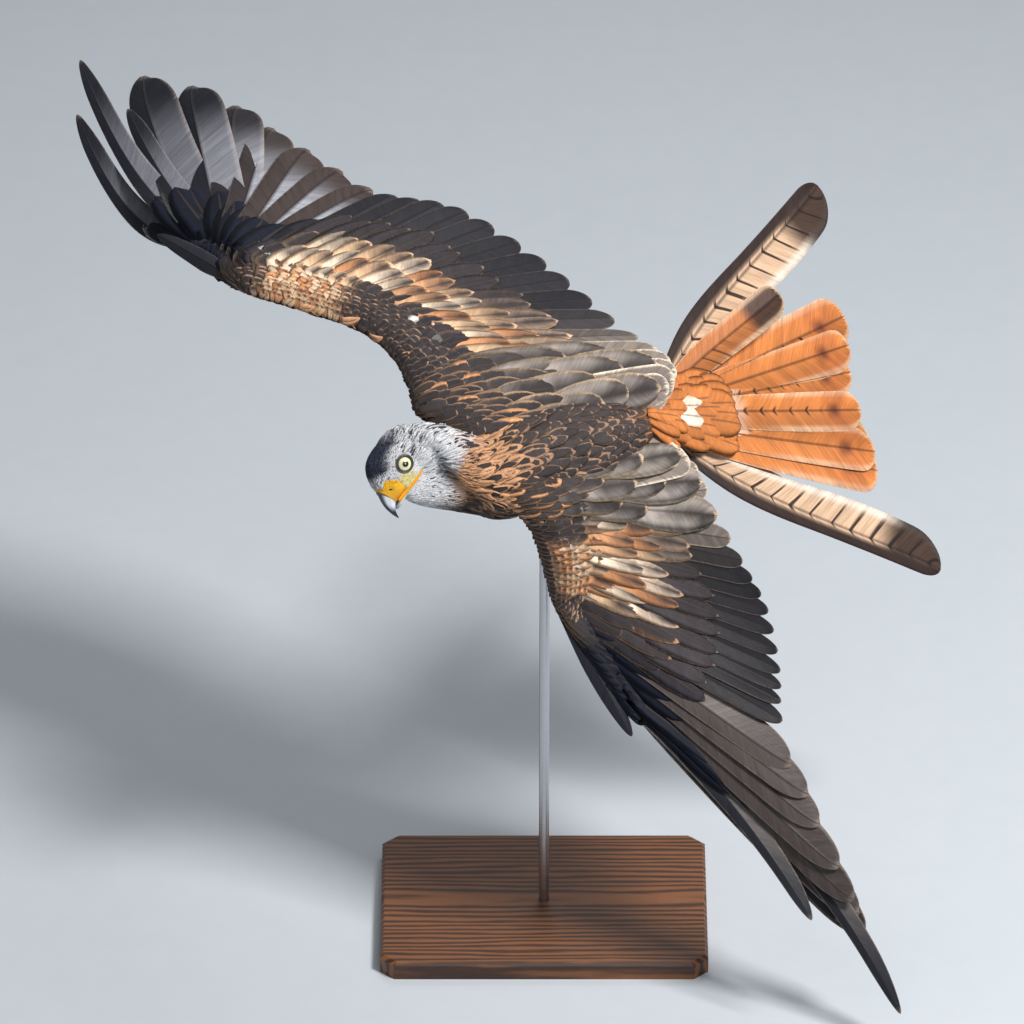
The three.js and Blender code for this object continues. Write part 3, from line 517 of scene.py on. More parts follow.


# The markings of the body, the neck and the head, with painted shade on the crown, the throat and the breast:
# centre and fringe colours, and the fringe's share
def markingsAndPaintedShadeAt(points):
    ahead, right, up = inAxes(body, points)
    headAhead, headRight, headUp = inAxes(head, points)
    back = smooth(up / 40 + 0.55)
    neck = smooth((ahead - 66) / 30)
    rump, vent = smooth((-44 - ahead) / 24), smooth((-40 - ahead) / 30)
    shadedBreast = smooth((ahead - 40) / 40)
    upperTint = blend(linear(64, 57, 56), linear(92, 68, 54), rump)
    upperFringe = blend(linear(166, 130, 104), linear(188, 128, 84), rump)
    # Partly the rufous, dark-streaked underside and partly painted shade: the underside's tint (44, 32, 28) and
    # the breast's fringe (70, 52, 43) are darkened as the shade under the body
    lowerFringe = blend(blend(linear(140, 80, 50), linear(70, 52, 43), shadedBreast), colours["buff"], vent)
    tint = blend(linear(44, 32, 28), upperTint, back)
    fringe = blend(lowerFringe, upperFringe, back)
    share = mix(mix(0.8, 0.7, shadedBreast), mix(0.34, 0.5, rump), back)
    fringe = blend(fringe, linear(204, 152, 112), neck * back)
    tint = blend(tint, linear(50, 43, 42), neck)
    share = mix(share, 1.0, neck * back)
    shadedThroat = smooth((-24 - headUp) / 16)
    onHead = smooth((104 - fromHead(points) - 26 * shadedThroat - 18 * smooth((-headAhead - 6) / 20)) / 34)
    # Painted shade: the crown's fringe goes navy (70, 80, 106), its tint goes near black-blue (24, 26, 40) and its
    # fringe share drops, as the shade on top of the head, alike on both sides
    shadedCrown = smooth((headUp - 6) / 6) * smooth((20 - np.abs(headRight)) / 9) * smooth((headAhead + 20) / 20)
    cheek = smooth((8 - headUp) / 8) * smooth((headAhead + 44) / 18)
    headFringeAndShade = blend(linear(228, 228, 230), linear(70, 80, 106), shadedCrown)
    # Painted shade: the throat behind the chin goes dark grey (52, 48, 46), as the shade under the head
    headFringeAndShade = blend(headFringeAndShade, linear(52, 48, 46), shadedThroat * smooth((-2 - headAhead) / 16) * 0.9)
    fringe = blend(fringe, headFringeAndShade, onHead)
    tint = blend(tint, blend(linear(60, 56, 62), linear(24, 26, 40), shadedCrown), onHead)
    pale = mix(1.25, 1.6, smooth((2 - headUp) / 8))  # over 1, so that the cheek is all fringe
    share = mix(share, mix(mix(1.0, 0.6, shadedCrown), pale, cheek * (1 - shadedCrown)), onHead)
    lores = smooth((headAhead - 2) / 5) * smooth((-1 - headUp) / 4) * smooth((headUp + 19) / 4)
    fringe = blend(fringe, linear(240, 226, 160), lores)
    tint = blend(tint, linear(206, 190, 130), lores)
    return tint, fringe, share


# Makes one piece from laid vanes, with what its finish reads and its bake map
def featherPiece(name, points, v, columns, tint, fringe, mark, lengths, roots, material, nodes, slab=None):
    count = len(points)
    grid = points.reshape(count, -1, 3)
    x = np.asarray(columns, float)
    shape = (count, len(v), len(x))
    vane = np.zeros((*shape, 3))
    vane[..., 0] = x
    vane[..., 1] = np.asarray(v)[:, None]
    vane[..., 2] = lengths[:, None, None]
    tint, fringe, mark = (np.broadcast_to(c, (*shape, 3)) for c in (tint, fringe, mark))
    patch = np.stack(np.broadcast_arrays(x / 2, np.asarray(v)[:, None] - 0.5), -1)
    patch = roots[:, None, None] + 0.003 * patch
    flat = [layer.reshape(count, -1, layer.shape[-1]) for layer in (vane, tint, fringe, mark, patch)]
    if slab is None:
        faces = vaneFaces(count, len(v), len(x))
    else:
        grid = np.concatenate([grid, slab.reshape(count, -1, 3)], 1)
        flat = [np.concatenate([layer, layer], 1) for layer in flat]
        faces = slabFaces(count, len(v), len(x))
    vane, tint, fringe, mark, patch = (layer.reshape(-1, layer.shape[-1]) for layer in flat)
    thing = meshFrom(name, grid, faces)
    setVector(thing, "vane", vane)
    setVector(thing, "mark", mark)
    setColour(thing, "tint", tint)
    setColour(thing, "fringe", fringe)
    setBakeMap(thing, patch)
    finishPiece(thing, material, nodes)
    print(name, count, "vanes,", sum(len(f) * (f.shape[1] - 2) for f in faces), "triangles")


def finishPiece(thing, material, nodes):
    thing.data.materials.append(material)
    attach(thing, "root")
    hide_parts(*nodes)


# The flesh: rings across an axis as (centre, right, up, half width, above, below)
def turned(share):
    up = mix(body["up"], head["up"], share)
    ahead = unit(mix(body["ahead"], head["ahead"], share))
    up = unit(up - ahead * (up @ ahead))
    return np.cross(ahead, up), up


def ringRow(centre, right, up, sizes):
    return np.concatenate([centre, right, up, np.array(sizes, float)])


torsoRings = [
    [-95, 17, 13, 14], [-84, 26, 19, 21], [-60, 38, 30, 33], [-30, 47, 39, 43], [5, 52, 44, 49],
    [40, 53, 45, 54], [70, 50, 43, 52], [92, 46, 40, 49],
]
neckRings = [
    [[118, 18, 7], 0.2, [45, 44, 47]], [[137, 29, 13], 0.5, [40, 43, 46]], [[148, 40, 16], 0.8, [35, 35, 44]],
]
headRings = [
    [-24, 30, 25, 44], [-12, 28.5, 25.5, 42], [2, 26.5, 27, 37], [13, 22, 25.5, 30], [21, 16.5, 20, 22],
    [26, 12, 12, 19], [28.5, 9, 6, 18],
]
nape = {"centre": [-131, -20, 51], "radius": 29.5}
throatAhead = unit(np.array([-0.93, -0.12, 0.35]))
throatRings = [
    [[-60, -38, 8], [40, 30, 44]], [[-84, -40, 20], [40, 28, 43]], [[-104, -41, 28], [37, 26, 40]],
    [[-120, -43, 34], [33, 22, 36]], [[-136, -45, 41], [26, 18, 31]], [[-147, -48, 47], [17, 12, 24]],
    [[-153, -51, 50], [8, 6, 14]],
]
throatUp = unit(np.array([0, 1.0, 0]) - throatAhead * throatAhead[1])
throatRows = [ringRow(np.array(at, float), np.cross(throatAhead, throatUp), throatUp, w) for at, w in throatRings]
neckRight = turned(1)[0]
tubeRows = [ringRow(onAxes(body, a, 0, 0), body["right"], body["up"], sizes) for a, *sizes in torsoRings]
tubeRows += [ringRow(onAxes(body, *at), *turned(share), sizes) for at, share, sizes in neckRings]
tubeRows += [ringRow(onAxes(head, a, 0, 0), neckRight, head["up"], sizes) for a, *sizes in headRings]
thighRings = [[2, 20, -36, 14], [-12, 22, -42, 18], [-34, 22, -45, 17], [-56, 20, -45, 12], [-74, 18, -43, 6.5]]


# A tapering body whose surface is read at places along it, in mm, and angles round it
def tubeOf(rows, inset=lambda place: 0.0):
    rows = np.array(rows)
    places = np.concatenate([[0], np.cumsum(stepsOf(rows[:, :3]))])
    curve = curveThrough(np.column_stack([places, rows]))

    def at(place, angle):
        place, angle = (x.astype(float) for x in np.broadcast_arrays(place, angle))
        row = curve(np.clip(place, 0, places[-1]))
        thin = np.asarray(inset(place), float)
        sizes = np.maximum(row[..., 9:] - thin[..., None], 0.5)
        height = np.sin(angle) * np.where(np.sin(angle) > 0, sizes[..., 1], sizes[..., 2])
        right, up = unit(row[..., 3:6]), unit(row[..., 6:9])
        side = right * (np.cos(angle) * sizes[..., 0])[..., None]
        return row[..., :3] + side + up * height[..., None]

    def normal(place, angle):
        onward = at(place + 0.6, angle) - at(place - 0.6, angle)
        around = at(place, angle + 0.02) - at(place, angle - 0.02)
        middle = curve(np.clip(place, 0, places[-1]))[..., :3]
        n = unit(np.cross(onward, around))
        return n * np.sign(dot(n, at(place, angle) - middle))

    return {"at": at, "normal": normal, "length": places[-1], "places": places}


trunk = tubeOf(tubeRows)
headFrom = trunk["places"][11]  # where the head's rings begin


def coatDepth(place):
    return mix(4.5, 2.0, smooth((place - headFrom + 70) / 80))


trunkFlesh = tubeOf(tubeRows, coatDepth)
thighRows = [
    [ringRow(onAxes(body, a, side * r, u), body["right"], body["up"], [w, w, w]) for a, r, u, w in thighRings]
    for name, side in sides
]


# The faces of a closed loft through rings of equal count, turned to face out
def loftFaces(rings, start=0):
    rows, columns = rings.shape[:2]
    points = rings.reshape(-1, 3)
    grid = np.arange(rows * columns).reshape(rows, columns)
    side = np.roll(grid, -1, axis=1)
    quads = np.stack([grid[:-1], side[:-1], side[1:], grid[1:]], -1).reshape(-1, 4)
    ends = np.stack([grid[0][::-1], grid[-1]])
    a, b, c = (points[quads[:, i]] - points.mean(0) for i in (0, 1, 2))
    turn = -1 if (np.cross(a, b) * c).sum() < 0 else 1
    return [quads[:, ::turn] + start, ends[:, ::turn] + start]


def loftPiece(name, rings):
    return meshFrom(name, rings, loftFaces(rings))


def tubeRings(tube, rows, columns, first=0.0, last=None):
    place = np.linspace(first, tube["length"] if last is None else last, rows)[:, None]
    return tube["at"](place, onceRound(columns)[None])


def wingCoreRings(wing, shrink):
    k = np.linspace(-3, 23, 60)
    v = np.array([0.06, 0.2, 0.42, 0.7, 1])
    half = (armThickness(k)[:, None] * armSection(v) * shrink)[..., None]
    mid, n = wing["point"](k[:, None], v), wing["normal"](k, 0.5)[:, None]
    return np.concatenate([wing["leadAt"](k)[:, None], mid + n * half, (mid - n * half * 0.8)[:, ::-1]], 1)


# The eye sockets, the brow ridges and the line of the mouth, pressed into the skin of the head
eye = {"ahead": -1.5, "side": 17.5, "up": 1.5, "radius": 9.9, "bulge": 0.35, "pupil": 2.8, "iris": 6.0}  # mm


def eyePlace(side):
    axis = unit(head["right"] * side + head["ahead"] * 0.24 + head["up"] * 0.1)
    return onAxes(head, eye["ahead"], side * eye["side"], eye["up"]), axis


gapeLine = [[-7, 25.3, -16.2], [2, 23.2, -17.4], [11, 17.4, -18.6], [19, 11.4, -19.6], [25, 7.4, -20.8]]


def gapePlace(side, t, edge=0.0):
    at = curveThrough([[i, *row] for i, row in enumerate(gapeLine)])(np.asarray(t, float))
    return onAxes(head, at[..., 0], side * at[..., 1], at[..., 2] + edge)


# How high over an eye's centre points lie along its axis, and how far from that axis
def eyeAway(points, side):
    centre, axis = eyePlace(side)
    away = points - centre
    height = away @ axis
    return height, np.linalg.norm(away - height[..., None] * axis, axis=-1)


def gapeAway(points, side, count):
    line = gapePlace(side, np.linspace(0, 4, count))
    return np.linalg.norm(points[..., None, :] - line, axis=-1).min(-1)


def shapeFace(points, normals):
    points = points.copy()
    for side in (-1, 1):
        height, apart = eyeAway(points, side)
        bowl = 17 - np.sqrt(np.maximum(150 - np.minimum(apart, 12.2) ** 2, 0))
        press = np.where((apart < 12) & (height > 0), np.maximum(height - bowl, 0) * smooth((12 - apart) / 3), 0)
        points -= press[:, None] * eyePlace(side)[1]
        ahead, right, up = inAxes(head, points)
        ridge = np.exp(-(((up - 11.5 - 0.12 * ahead) / 2.4) ** 2)) * smooth((ahead + 15) / 9)
        ridge = ridge * smooth((14 - ahead) / 7) * smooth((right * side - 9) / 6)
        points += normals * (1.7 * ridge)[:, None]
        points -= normals * (0.9 * np.exp(-((gapeAway(points, side, 60) / 1.3) ** 2)))[:, None]
    return points


def ballRings(centre, radius, rows=24, columns=32):
    down, turn = np.linspace(0.05, math.pi - 0.05, rows)[:, None], onceRound(columns)
    across = np.stack([np.cos(turn) + 0 * down, np.sin(turn) + 0 * down], -1) * np.sin(down)[..., None]
    return np.array(centre) + np.concatenate([across, np.cos(down)[..., None] + 0 * across[..., :1]], -1) * radius


# The flesh from its overlapping bodies, grown into one skin
def joinedFlesh():
    tubes = [
        (tubeRows, lambda place: coatDepth(place) + 0.8 * (place > headFrom), 90, 56),
        *[(rows, lambda place: 3.0, 24, 28) for rows in thighRows],
        (throatRows, lambda place: 3.5, 40, 44),
    ]
    lofts = [tubeRings(tubeOf(rows, depth), *counts) for rows, depth, *counts in tubes]
    lofts += [ballRings(nape["centre"], nape["radius"] - 3.5), *[wingCoreRings(wing, 0.72) for wing in wings]]
    parts = [loftPiece("flesh", rings) for rings in lofts]
    bpy.ops.object.select_all(action="DESELECT")
    for part in parts:
        part.select_set(True)
    bpy.context.view_layer.objects.active = parts[0]
    bpy.ops.object.join()
    joined = parts[0]
    remesh = joined.modifiers.new("remesh", "REMESH")
    remesh.mode, remesh.voxel_size = "VOXEL", 0.0021
    relax = joined.modifiers.new("relax", "SMOOTH")
    relax.factor, relax.iterations = 0.5, 22
    mesh = bpy.data.meshes.new_from_object(joined.evaluated_get(bpy.context.evaluated_depsgraph_get()))
    bpy.data.objects.remove(joined)
    points = np.empty(len(mesh.vertices) * 3, np.float32)
    mesh.vertices.foreach_get("co", points)
    corners = np.empty(len(mesh.loops), np.int32)
    mesh.loops.foreach_get("vertex_index", corners)
    bpy.data.meshes.remove(mesh)
    return toFlight(points.reshape(-1, 3).astype(float)), corners.reshape(-1, 4)


def headShell():
    rows, columns = 110, 132
    place = np.linspace(headFrom - 6, trunk["length"], rows)[:, None]
    angle = onceRound(columns)[None]
    points = trunkFlesh["at"](place, angle).reshape(-1, 3)
    normals = trunkFlesh["normal"](place, angle).reshape(-1, 3)
    sink = 3.5 * smooth((headFrom + 5 - np.repeat(place, columns)) / 11)
    points = shapeFace(points - normals * sink[:, None], normals)
    return points, *loftFaces(points.reshape(rows, columns, 3))


fleshPoints, fleshFaces = joinedFlesh()
shellPoints, shellFaces, shellEnds = headShell()
fleshTree = BVHTree.FromPolygons(fleshPoints.tolist(), fleshFaces.tolist())
shellTree = BVHTree.FromPolygons(shellPoints.tolist(), shellFaces.tolist() + shellEnds.tolist())


# The nearest place of the skin, its normal, and how far outside it a point is
def onSkin(points):
    found, normals, away = np.empty((len(points), 3)), np.empty((len(points), 3)), np.empty(len(points))
    for i, p in enumerate(points.tolist()):
        best = None
        for tree in (fleshTree, shellTree):
            place, n, face, gap = tree.find_nearest(p)
            signed = gap if (Vector(p) - place).dot(n) >= 0 else -gap
            if best is None or (gap < 9 and signed < best[2]):
                best = (place, n, signed)
        found[i], normals[i], away[i] = best
    return found, normals, away


def skinMaterial():
    material, tree, surface = startMaterial("skin", Roughness=0.8)
    place = placeOf(tree)
    down, pores = noiseOf(tree, place, 420, 5, 0.7), noiseOf(tree, place, 1800, 3)
    base = shaded(tree, attribute(tree, "tint", "Color"), rampOf(tree, down, 0.3, 0.7, 0.55, 1.15))
    finishSurface(tree, surface, base, plus(tree, down, times(tree, pores, 0.5)), 0.6, 0.0006)
    return material


def skinPiece():
    allPoints = np.concatenate([shellPoints, fleshPoints])
    start = len(shellPoints)
    thing = meshFrom("skin", allPoints, [shellFaces, shellEnds, fleshFaces + start])
    tint, fringe, share = markingsAndPaintedShadeAt(allPoints)
    tone = blend(tint, fringe, share * 0.7) * 0.75
    away = np.linalg.norm(allPoints - onAxes(body, 40, 0, 0), axis=1)
    tone = blend(tone, colours["darkBrown"], smooth((away - 120) / 30) * (inAxes(head, allPoints)[0] < -40))
    tone = blend(tone, colours["yellow"], cereShare(allPoints))
    setColour(thing, "tint", tone)
    nodes = ["torso", "neck", "head", "thigh_right", "thigh_left"]
    finishPiece(thing, skinMaterial(), nodes)


# How much of a place on the head is bare yellow cere, and whether it is bare at all
def cereShare(points):
    ahead, right, up = inAxes(head, points)
    rear = np.interp(up, [-24, -19, -10.7, -2, 4, 8], [24, 14, 16.5, 15.2, 21, 30])
    below = smooth((4.5 - 0.97 * (ahead - 24) - up) / 1.4 + 0.5)
    return smooth((ahead - rear) / 1.4 + 0.5) * smooth((up + 24) / 2) * below


def faceBare(points):
    bare = cereShare(points) > 0.5
    for side in (-1, 1):
        height, apart = eyeAway(points, side)
        bare |= (apart < 9.2) & (height > 0) | (gapeAway(points, side, 24) < 1.7)
    ahead, right, up = inAxes(head, points)
    return bare | ((ahead > 25) & (up < 1))


skinPiece()
print("skin", len(fleshPoints) + len(shellPoints), "points")

# Contour feathers: roots spread evenly over the skin, each feather laid along the flow of the coat
roundProfile = numberThrough([[0, 0.3], [0.25, 0.72], [0.6, 1], [0.85, 0.96], [1, 0.9]])
spearProfile = numberThrough([[0, 0.35], [0.3, 0.9], [0.5, 1], [0.8, 0.72], [1, 0.4]])
billRoot = onAxes(head, 24, 0, -10)


def flowAt(points):
    overHead = unit(unit(points - billRoot) * 0.7 - head["ahead"])
    underneath = smooth((-inAxes(head, points)[2] - 22) / 22)
    overHead = blend(overHead, -throatAhead, underneath * 0.8)
    ahead, right, up = inAxes(body, points)
    spreading = body["right"] * (np.clip(right / 60, -1, 1) * smooth((70 - ahead) / 60) * 0.12)[..., None]
    return unit(blend(overHead, -body["ahead"] + spreading, smooth((fromHead(points) - 36) / 52)))


# Places spread over a mesh, about spacing(points) apart
def spreadOver(points, faces, spacing, wanted, tries):
    tri = np.concatenate([faces[:, [0, 1, 2]], faces[:, [0, 2, 3]]])
    a, b, c = (points[tri[:, i]] for i in (0, 1, 2))
    middle = (a + b + c) / 3
    good = wanted(middle)
    a, b, c, middle = a[good], b[good], c[good], middle[good]
    weight = np.linalg.norm(np.cross(b - a, c - a), axis=1) / spacing(middle) ** 2
    count = int(weight.sum() * tries)
    pick = draw.choice(len(weight), count, p=weight / weight.sum())
    u, v = draw.random((2, count, 1))
    u, v = np.where(u + v > 1, 1 - u, u), np.where(u + v > 1, 1 - v, v)
    found = a[pick] + (b - a)[pick] * u + (c - a)[pick] * v
    apart = spacing(found)
    cell = float(apart.max())
    cells = np.floor(found / cell).astype(int).tolist()
    taken, kept, near = {}, [], [(i, j, k) for i in (-1, 0, 1) for j in (-1, 0, 1) for k in (-1, 0, 1)]
    for n, ((x, y, z), (px, py, pz)) in enumerate(zip(cells, found.tolist())):
        limit = (apart[n] * 0.8) ** 2
        others = (other for i, j, k in near for other in taken.get((x + i, y + j, z + k), ()))
        if all((px - qx) ** 2 + (py - qy) ** 2 + (pz - qz) ** 2 >= limit for qx, qy, qz in others):
            taken.setdefault((x, y, z), []).append((px, py, pz))
            kept.append(n)
    return found[kept]


def grownSet(roots, size, columns, stations, tilt=0.11, sunk=1.0, spear=0.0, bare=None, look=markingsAndPaintedShadeAt, vary=0.16,
             stray=0.12):
    roots, normals, away = onSkin(roots)
    if bare is not None:
        keep = ~bare(roots)
        roots, normals = roots[keep], normals[keep]
    count = len(roots)
    length, width = size(roots)
    length = length * draw.uniform(1 - vary, 1 + vary, count)
    width = width * draw.uniform(0.88, 1.12, count)
    lean = draw.normal(0, stray, (count, 3))
    s = stationsAt(stations)
    line, ups, at, n = [roots], [normals], roots, normals
    for i in range(1, stations):
        step = (length * (s[i] - s[i - 1]))[:, None]
        flow = flowAt(at) + lean
        onward = at + unit(flow - n * dot(flow, n)) * step
        found, facing, away = onSkin(onward)
        pull = found - onward
        pull = pull * np.minimum(1, step * 0.6 / np.maximum(np.linalg.norm(pull, axis=1, keepdims=True), 1e-6))
        at, n = onward + pull, unit(mix(n, facing, 0.6))
        line.append(at)
        ups.append(n)
    line, ups = np.stack(line, 1), np.stack(ups, 1)
    if bare is not None:
        hit = bare(line)
        first = np.where(hit.any(1), hit.argmax(1), stations)
        short = s[np.clip(first - 1, 0, stations - 1)]
        reach = s[None] * short[:, None]
        low = np.clip(np.searchsorted(s, reach, side="right") - 1, 0, stations - 2)
        share, row = ((reach - s[low]) / (s[low + 1] - s[low]))[..., None], np.arange(count)[:, None]
        line = mix(line[row, low], line[row, low + 1], share)
        ups = unit(mix(ups[row, low], ups[row, low + 1], share))
        length = length * short
    rise = -sunk * (1 - smooth(s * 3)) + s * length[:, None] * tilt * draw.uniform(0.8, 1.2, (count, 1))
    spine = line + ups * rise[..., None]
    profile = mix(roundProfile(s), spearProfile(s), spear)
    half = profile * tipRound(s, mix(0.62, 0.5, spear), mix(2.0, 1.5, spear)) * width[:, None] / 2
    points, up = layVanes(spine, ups, half, half, columns, draw.normal(0, 0.05, (count, 1)), 0.13)
    good = length > width * 0.7
    tint, fringe, share = look(roots)
    # Some pale feathers of the neck and the head show their dark middle
    odd = draw.random(count)
    chance = np.where(width > 5, 0.45, np.where(share > 1.4, 0.05, 0.2))
    share = np.where(share > 0.9, np.where(odd < chance, 0.58, share), share * draw.uniform(0.5, 1.25, count))
    share = np.where((odd > 0.8) & (share > 0.2) & (share < 0.5), share + 0.38, share)
    mark = np.stack([share, np.zeros(count), draw.random(count)], -1)
    tint, fringe = tint * draw.uniform(0.78, 1.22, (count, 1)), fringe * draw.uniform(0.88, 1.1, (count, 1))
    # Narrow fringes keep to the tip half of a feather
    early = (1 - smooth((s - 0.5) / 0.3))[None] * smooth((0.62 - share) / 0.2)[:, None]
    fringe = blend(fringe[:, None], tint[:, None] * 1.5, early * 0.75)[:, :, None]
    ahead, right, up = inAxes(body, roots)
    uv = np.stack([(ahead + 110) / 330, np.arctan2(up, right) / (2 * math.pi) + 0.5], -1)
    rows = (points, tint, fringe, mark, length / (width / 2), uv)
    return [x[good] for x in rows]


def coatPiece(name, sets, columns, stations, nodes):
    points, tint, fringe, mark, lengths, uv = (np.concatenate(x) for x in zip(*sets))
    tint, fringe, mark = (x[:, None, None] if x.ndim == 2 else x for x in (tint, fringe, mark))
    s, uv = stationsAt(stations), 0.5 + (uv - 0.5) * 0.9
    featherPiece(name, points, s, columns, tint, fringe, mark, lengths, uv, feather, nodes)


wide, narrow = (-1, -0.5, 0, 0.5, 1), (-1, 0, 1)  # places across a vane
bodyCoat = {"length": [29, 25, 22], "width": [12.5, 11.5, 8.4], "apart": 0.6}  # mm at middle, rump, neck
headCoat = {"length": [14, 5.2], "width": [4.0, 1.8], "apart": 0.58}  # mm at nape, bill
trousers = {"length": 22.0, "width": 8.5, "apart": 4.6}


def bodySize(points):
    ahead = inAxes(body, points)[0]
    rear, front = smooth((-40 - ahead) / 40), smooth((ahead - 70) / 60)
    return [mix(mix(a, b, rear), c, front) for a, b, c in (bodyCoat["length"], bodyCoat["width"])]


def headSize(points):
    front = smooth((inAxes(head, points)[0] + 30) / 44)
    return [mix(a, b, front) for a, b in (headCoat["length"], headCoat["width"])]


def bodySpacing(points):
    return bodySize(points)[1] * bodyCoat["apart"]


def headSpacing(points):
    return headSize(points)[1] * headCoat["apart"]


def trouserSize(points):
    return [np.full(len(points), trousers[key]) for key in ("length", "width")]


def trouserSpacing(points):
    return np.full(len(points), trousers["apart"])


def isHead(points):
    ahead, right, up = inAxes(head, points)
    return (ahead > -40 + 0.3 * np.maximum(-up - 20, 0)) & (fromHead(points) < 74)


def isTrunk(points):
    ahead, right, up = inAxes(body, points)
    outside = np.hypot(right / 62, up / 62) < 1
    return ~isHead(points) & (ahead > -96) & (ahead < 190) & (outside | (ahead > 96))


bodyRoots = spreadOver(fleshPoints, fleshFaces, bodySpacing, isTrunk, 3.0)
mantle = grownSet(bodyRoots, bodySize, wide, 8, spear=0.5, stray=0.16)
coatPiece("bodyFeathers", [mantle], wide, 8, ["torso", "neck"])
outer = np.concatenate([
    spreadOver(fleshPoints, fleshFaces, headSpacing, isHead, 2.6),
    spreadOver(shellPoints, shellFaces, headSpacing, lambda points: fromHead(points) < 96, 2.6),
])
outer = outer[onSkin(outer)[2] > -1.0]
face = grownSet(outer, headSize, narrow, 6, tilt=0.12, sunk=0.4, spear=0.9, bare=faceBare, stray=0.06)
coatPiece("headFeathers", [face], narrow, 6, ["head"])


def trouserLook(points):
    return linear(110, 60, 38), linear(196, 116, 68), np.full(len(points), 0.7)


for name, side in sides:
    def onThigh(points):
        ahead, right, up = inAxes(body, points)
        return (np.hypot(right - side * 21, up + 44) < 21) & (ahead < 6) & (ahead > -76) & (up < -26)

    legRoots = spreadOver(fleshPoints, fleshFaces, trouserSpacing, onThigh, 3.0)
    lower = grownSet(legRoots, trouserSize, wide, 7, tilt=0.14, spear=0.6, look=trouserLook)
    coatPiece(name + "Trousers", [lower], wide, 7, ["thigh_" + name])

# The flight feathers
flightFeathers = {
    "armWidth": 36,
    "handWidth": 52,
    "fingerWidth": 42,
    "scapularWidth": 42,
    "thickness": 0.5,
    "stations": 44,
    "columns": [-1, -0.84, -0.66, -0.48, -0.3, -0.14, -0.04, 0, 0.04, 0.14, 0.3, 0.48, 0.66, 0.84, 1],
}
plainOutline = outlineOf([[0, 0.1], [0.24, 0.4], [0.6, 0.48], [0.86, 0.48], [1, 0.44]],
                         [[0, 0.1], [0.24, 0.46], [0.6, 0.52], [0.86, 0.5], [1, 0.44]], 0.9, 0.86, 2.6)
fingerOutline = outlineOf([[0, 0.12], [0.3, 0.28], [0.5, 0.3], [0.72, 0.22], [0.92, 0.17], [1, 0.14]],
                          [[0, 0.12], [0.3, 0.5], [0.5, 0.52], [0.72, 0.36], [0.92, 0.27], [1, 0.2]], 0.9, 0.86)


# Vanes on a wing from v0 to v1 at places k, all with one grid. shift moves the shaft off the middle
def wingVanes(wing, k, v0, v1, width, lift, outline, columns, stations, camber, drift=0.0, shaft=None,
              onCore=False, upper=1, shift=0.0):
    k, v0, v1, width = (np.atleast_1d(np.asarray(x, float)) for x in np.broadcast_arrays(k, v0, v1, width))
    s = stationsAt(stations)
    v = v0[:, None] + (v1 - v0)[:, None] * s
    place = k[:, None] + drift * s
    n = wing["normal"](place, v)
    rise = mix(lift[0], lift[1], smooth(s)) + np.zeros_like(v)
    if onCore:
        rise = rise + armThickness(place) * np.maximum(armSection(v), 0) * (0.76 if upper > 0 else 0.62)
    spine = wing["point"](place, v) + n * rise[..., None] * upper
    out = unit(np.cross(n, unit(np.gradient(spine, axis=1)))) * wing["side"]
    slope = tileSlope(wing, place, v, out, width[:, None])
    outer, inner = outline
    off = shift * smooth(s / 0.3) * width[:, None] * np.clip(outer(s) / np.maximum(outer(0.7), 0.1), 0, 1)
    halves = outer(s) * width[:, None] - off, inner(s) * width[:, None] + off
    plus, minus = halves if wing["side"] * upper > 0 else halves[::-1]
    spine = spine + out * off[..., None]
    return layVanes(spine, n * upper, plus, minus, columns, slope * wing["side"], camber, shaft)


# One piece of stiff feathers, each laid by itself with its colours, mark and place on the bake map
def stiffPiece(name, feathers, s, nodes):
    points, ups, lengths, tints, fringes, marks, roots = (np.array(x) for x in zip(*feathers))
    featherPiece(name, points, s, flightFeathers["columns"], tints, fringes, marks, lengths, roots, stiff,
                 nodes, points - ups[:, :, None] * flightFeathers["thickness"])


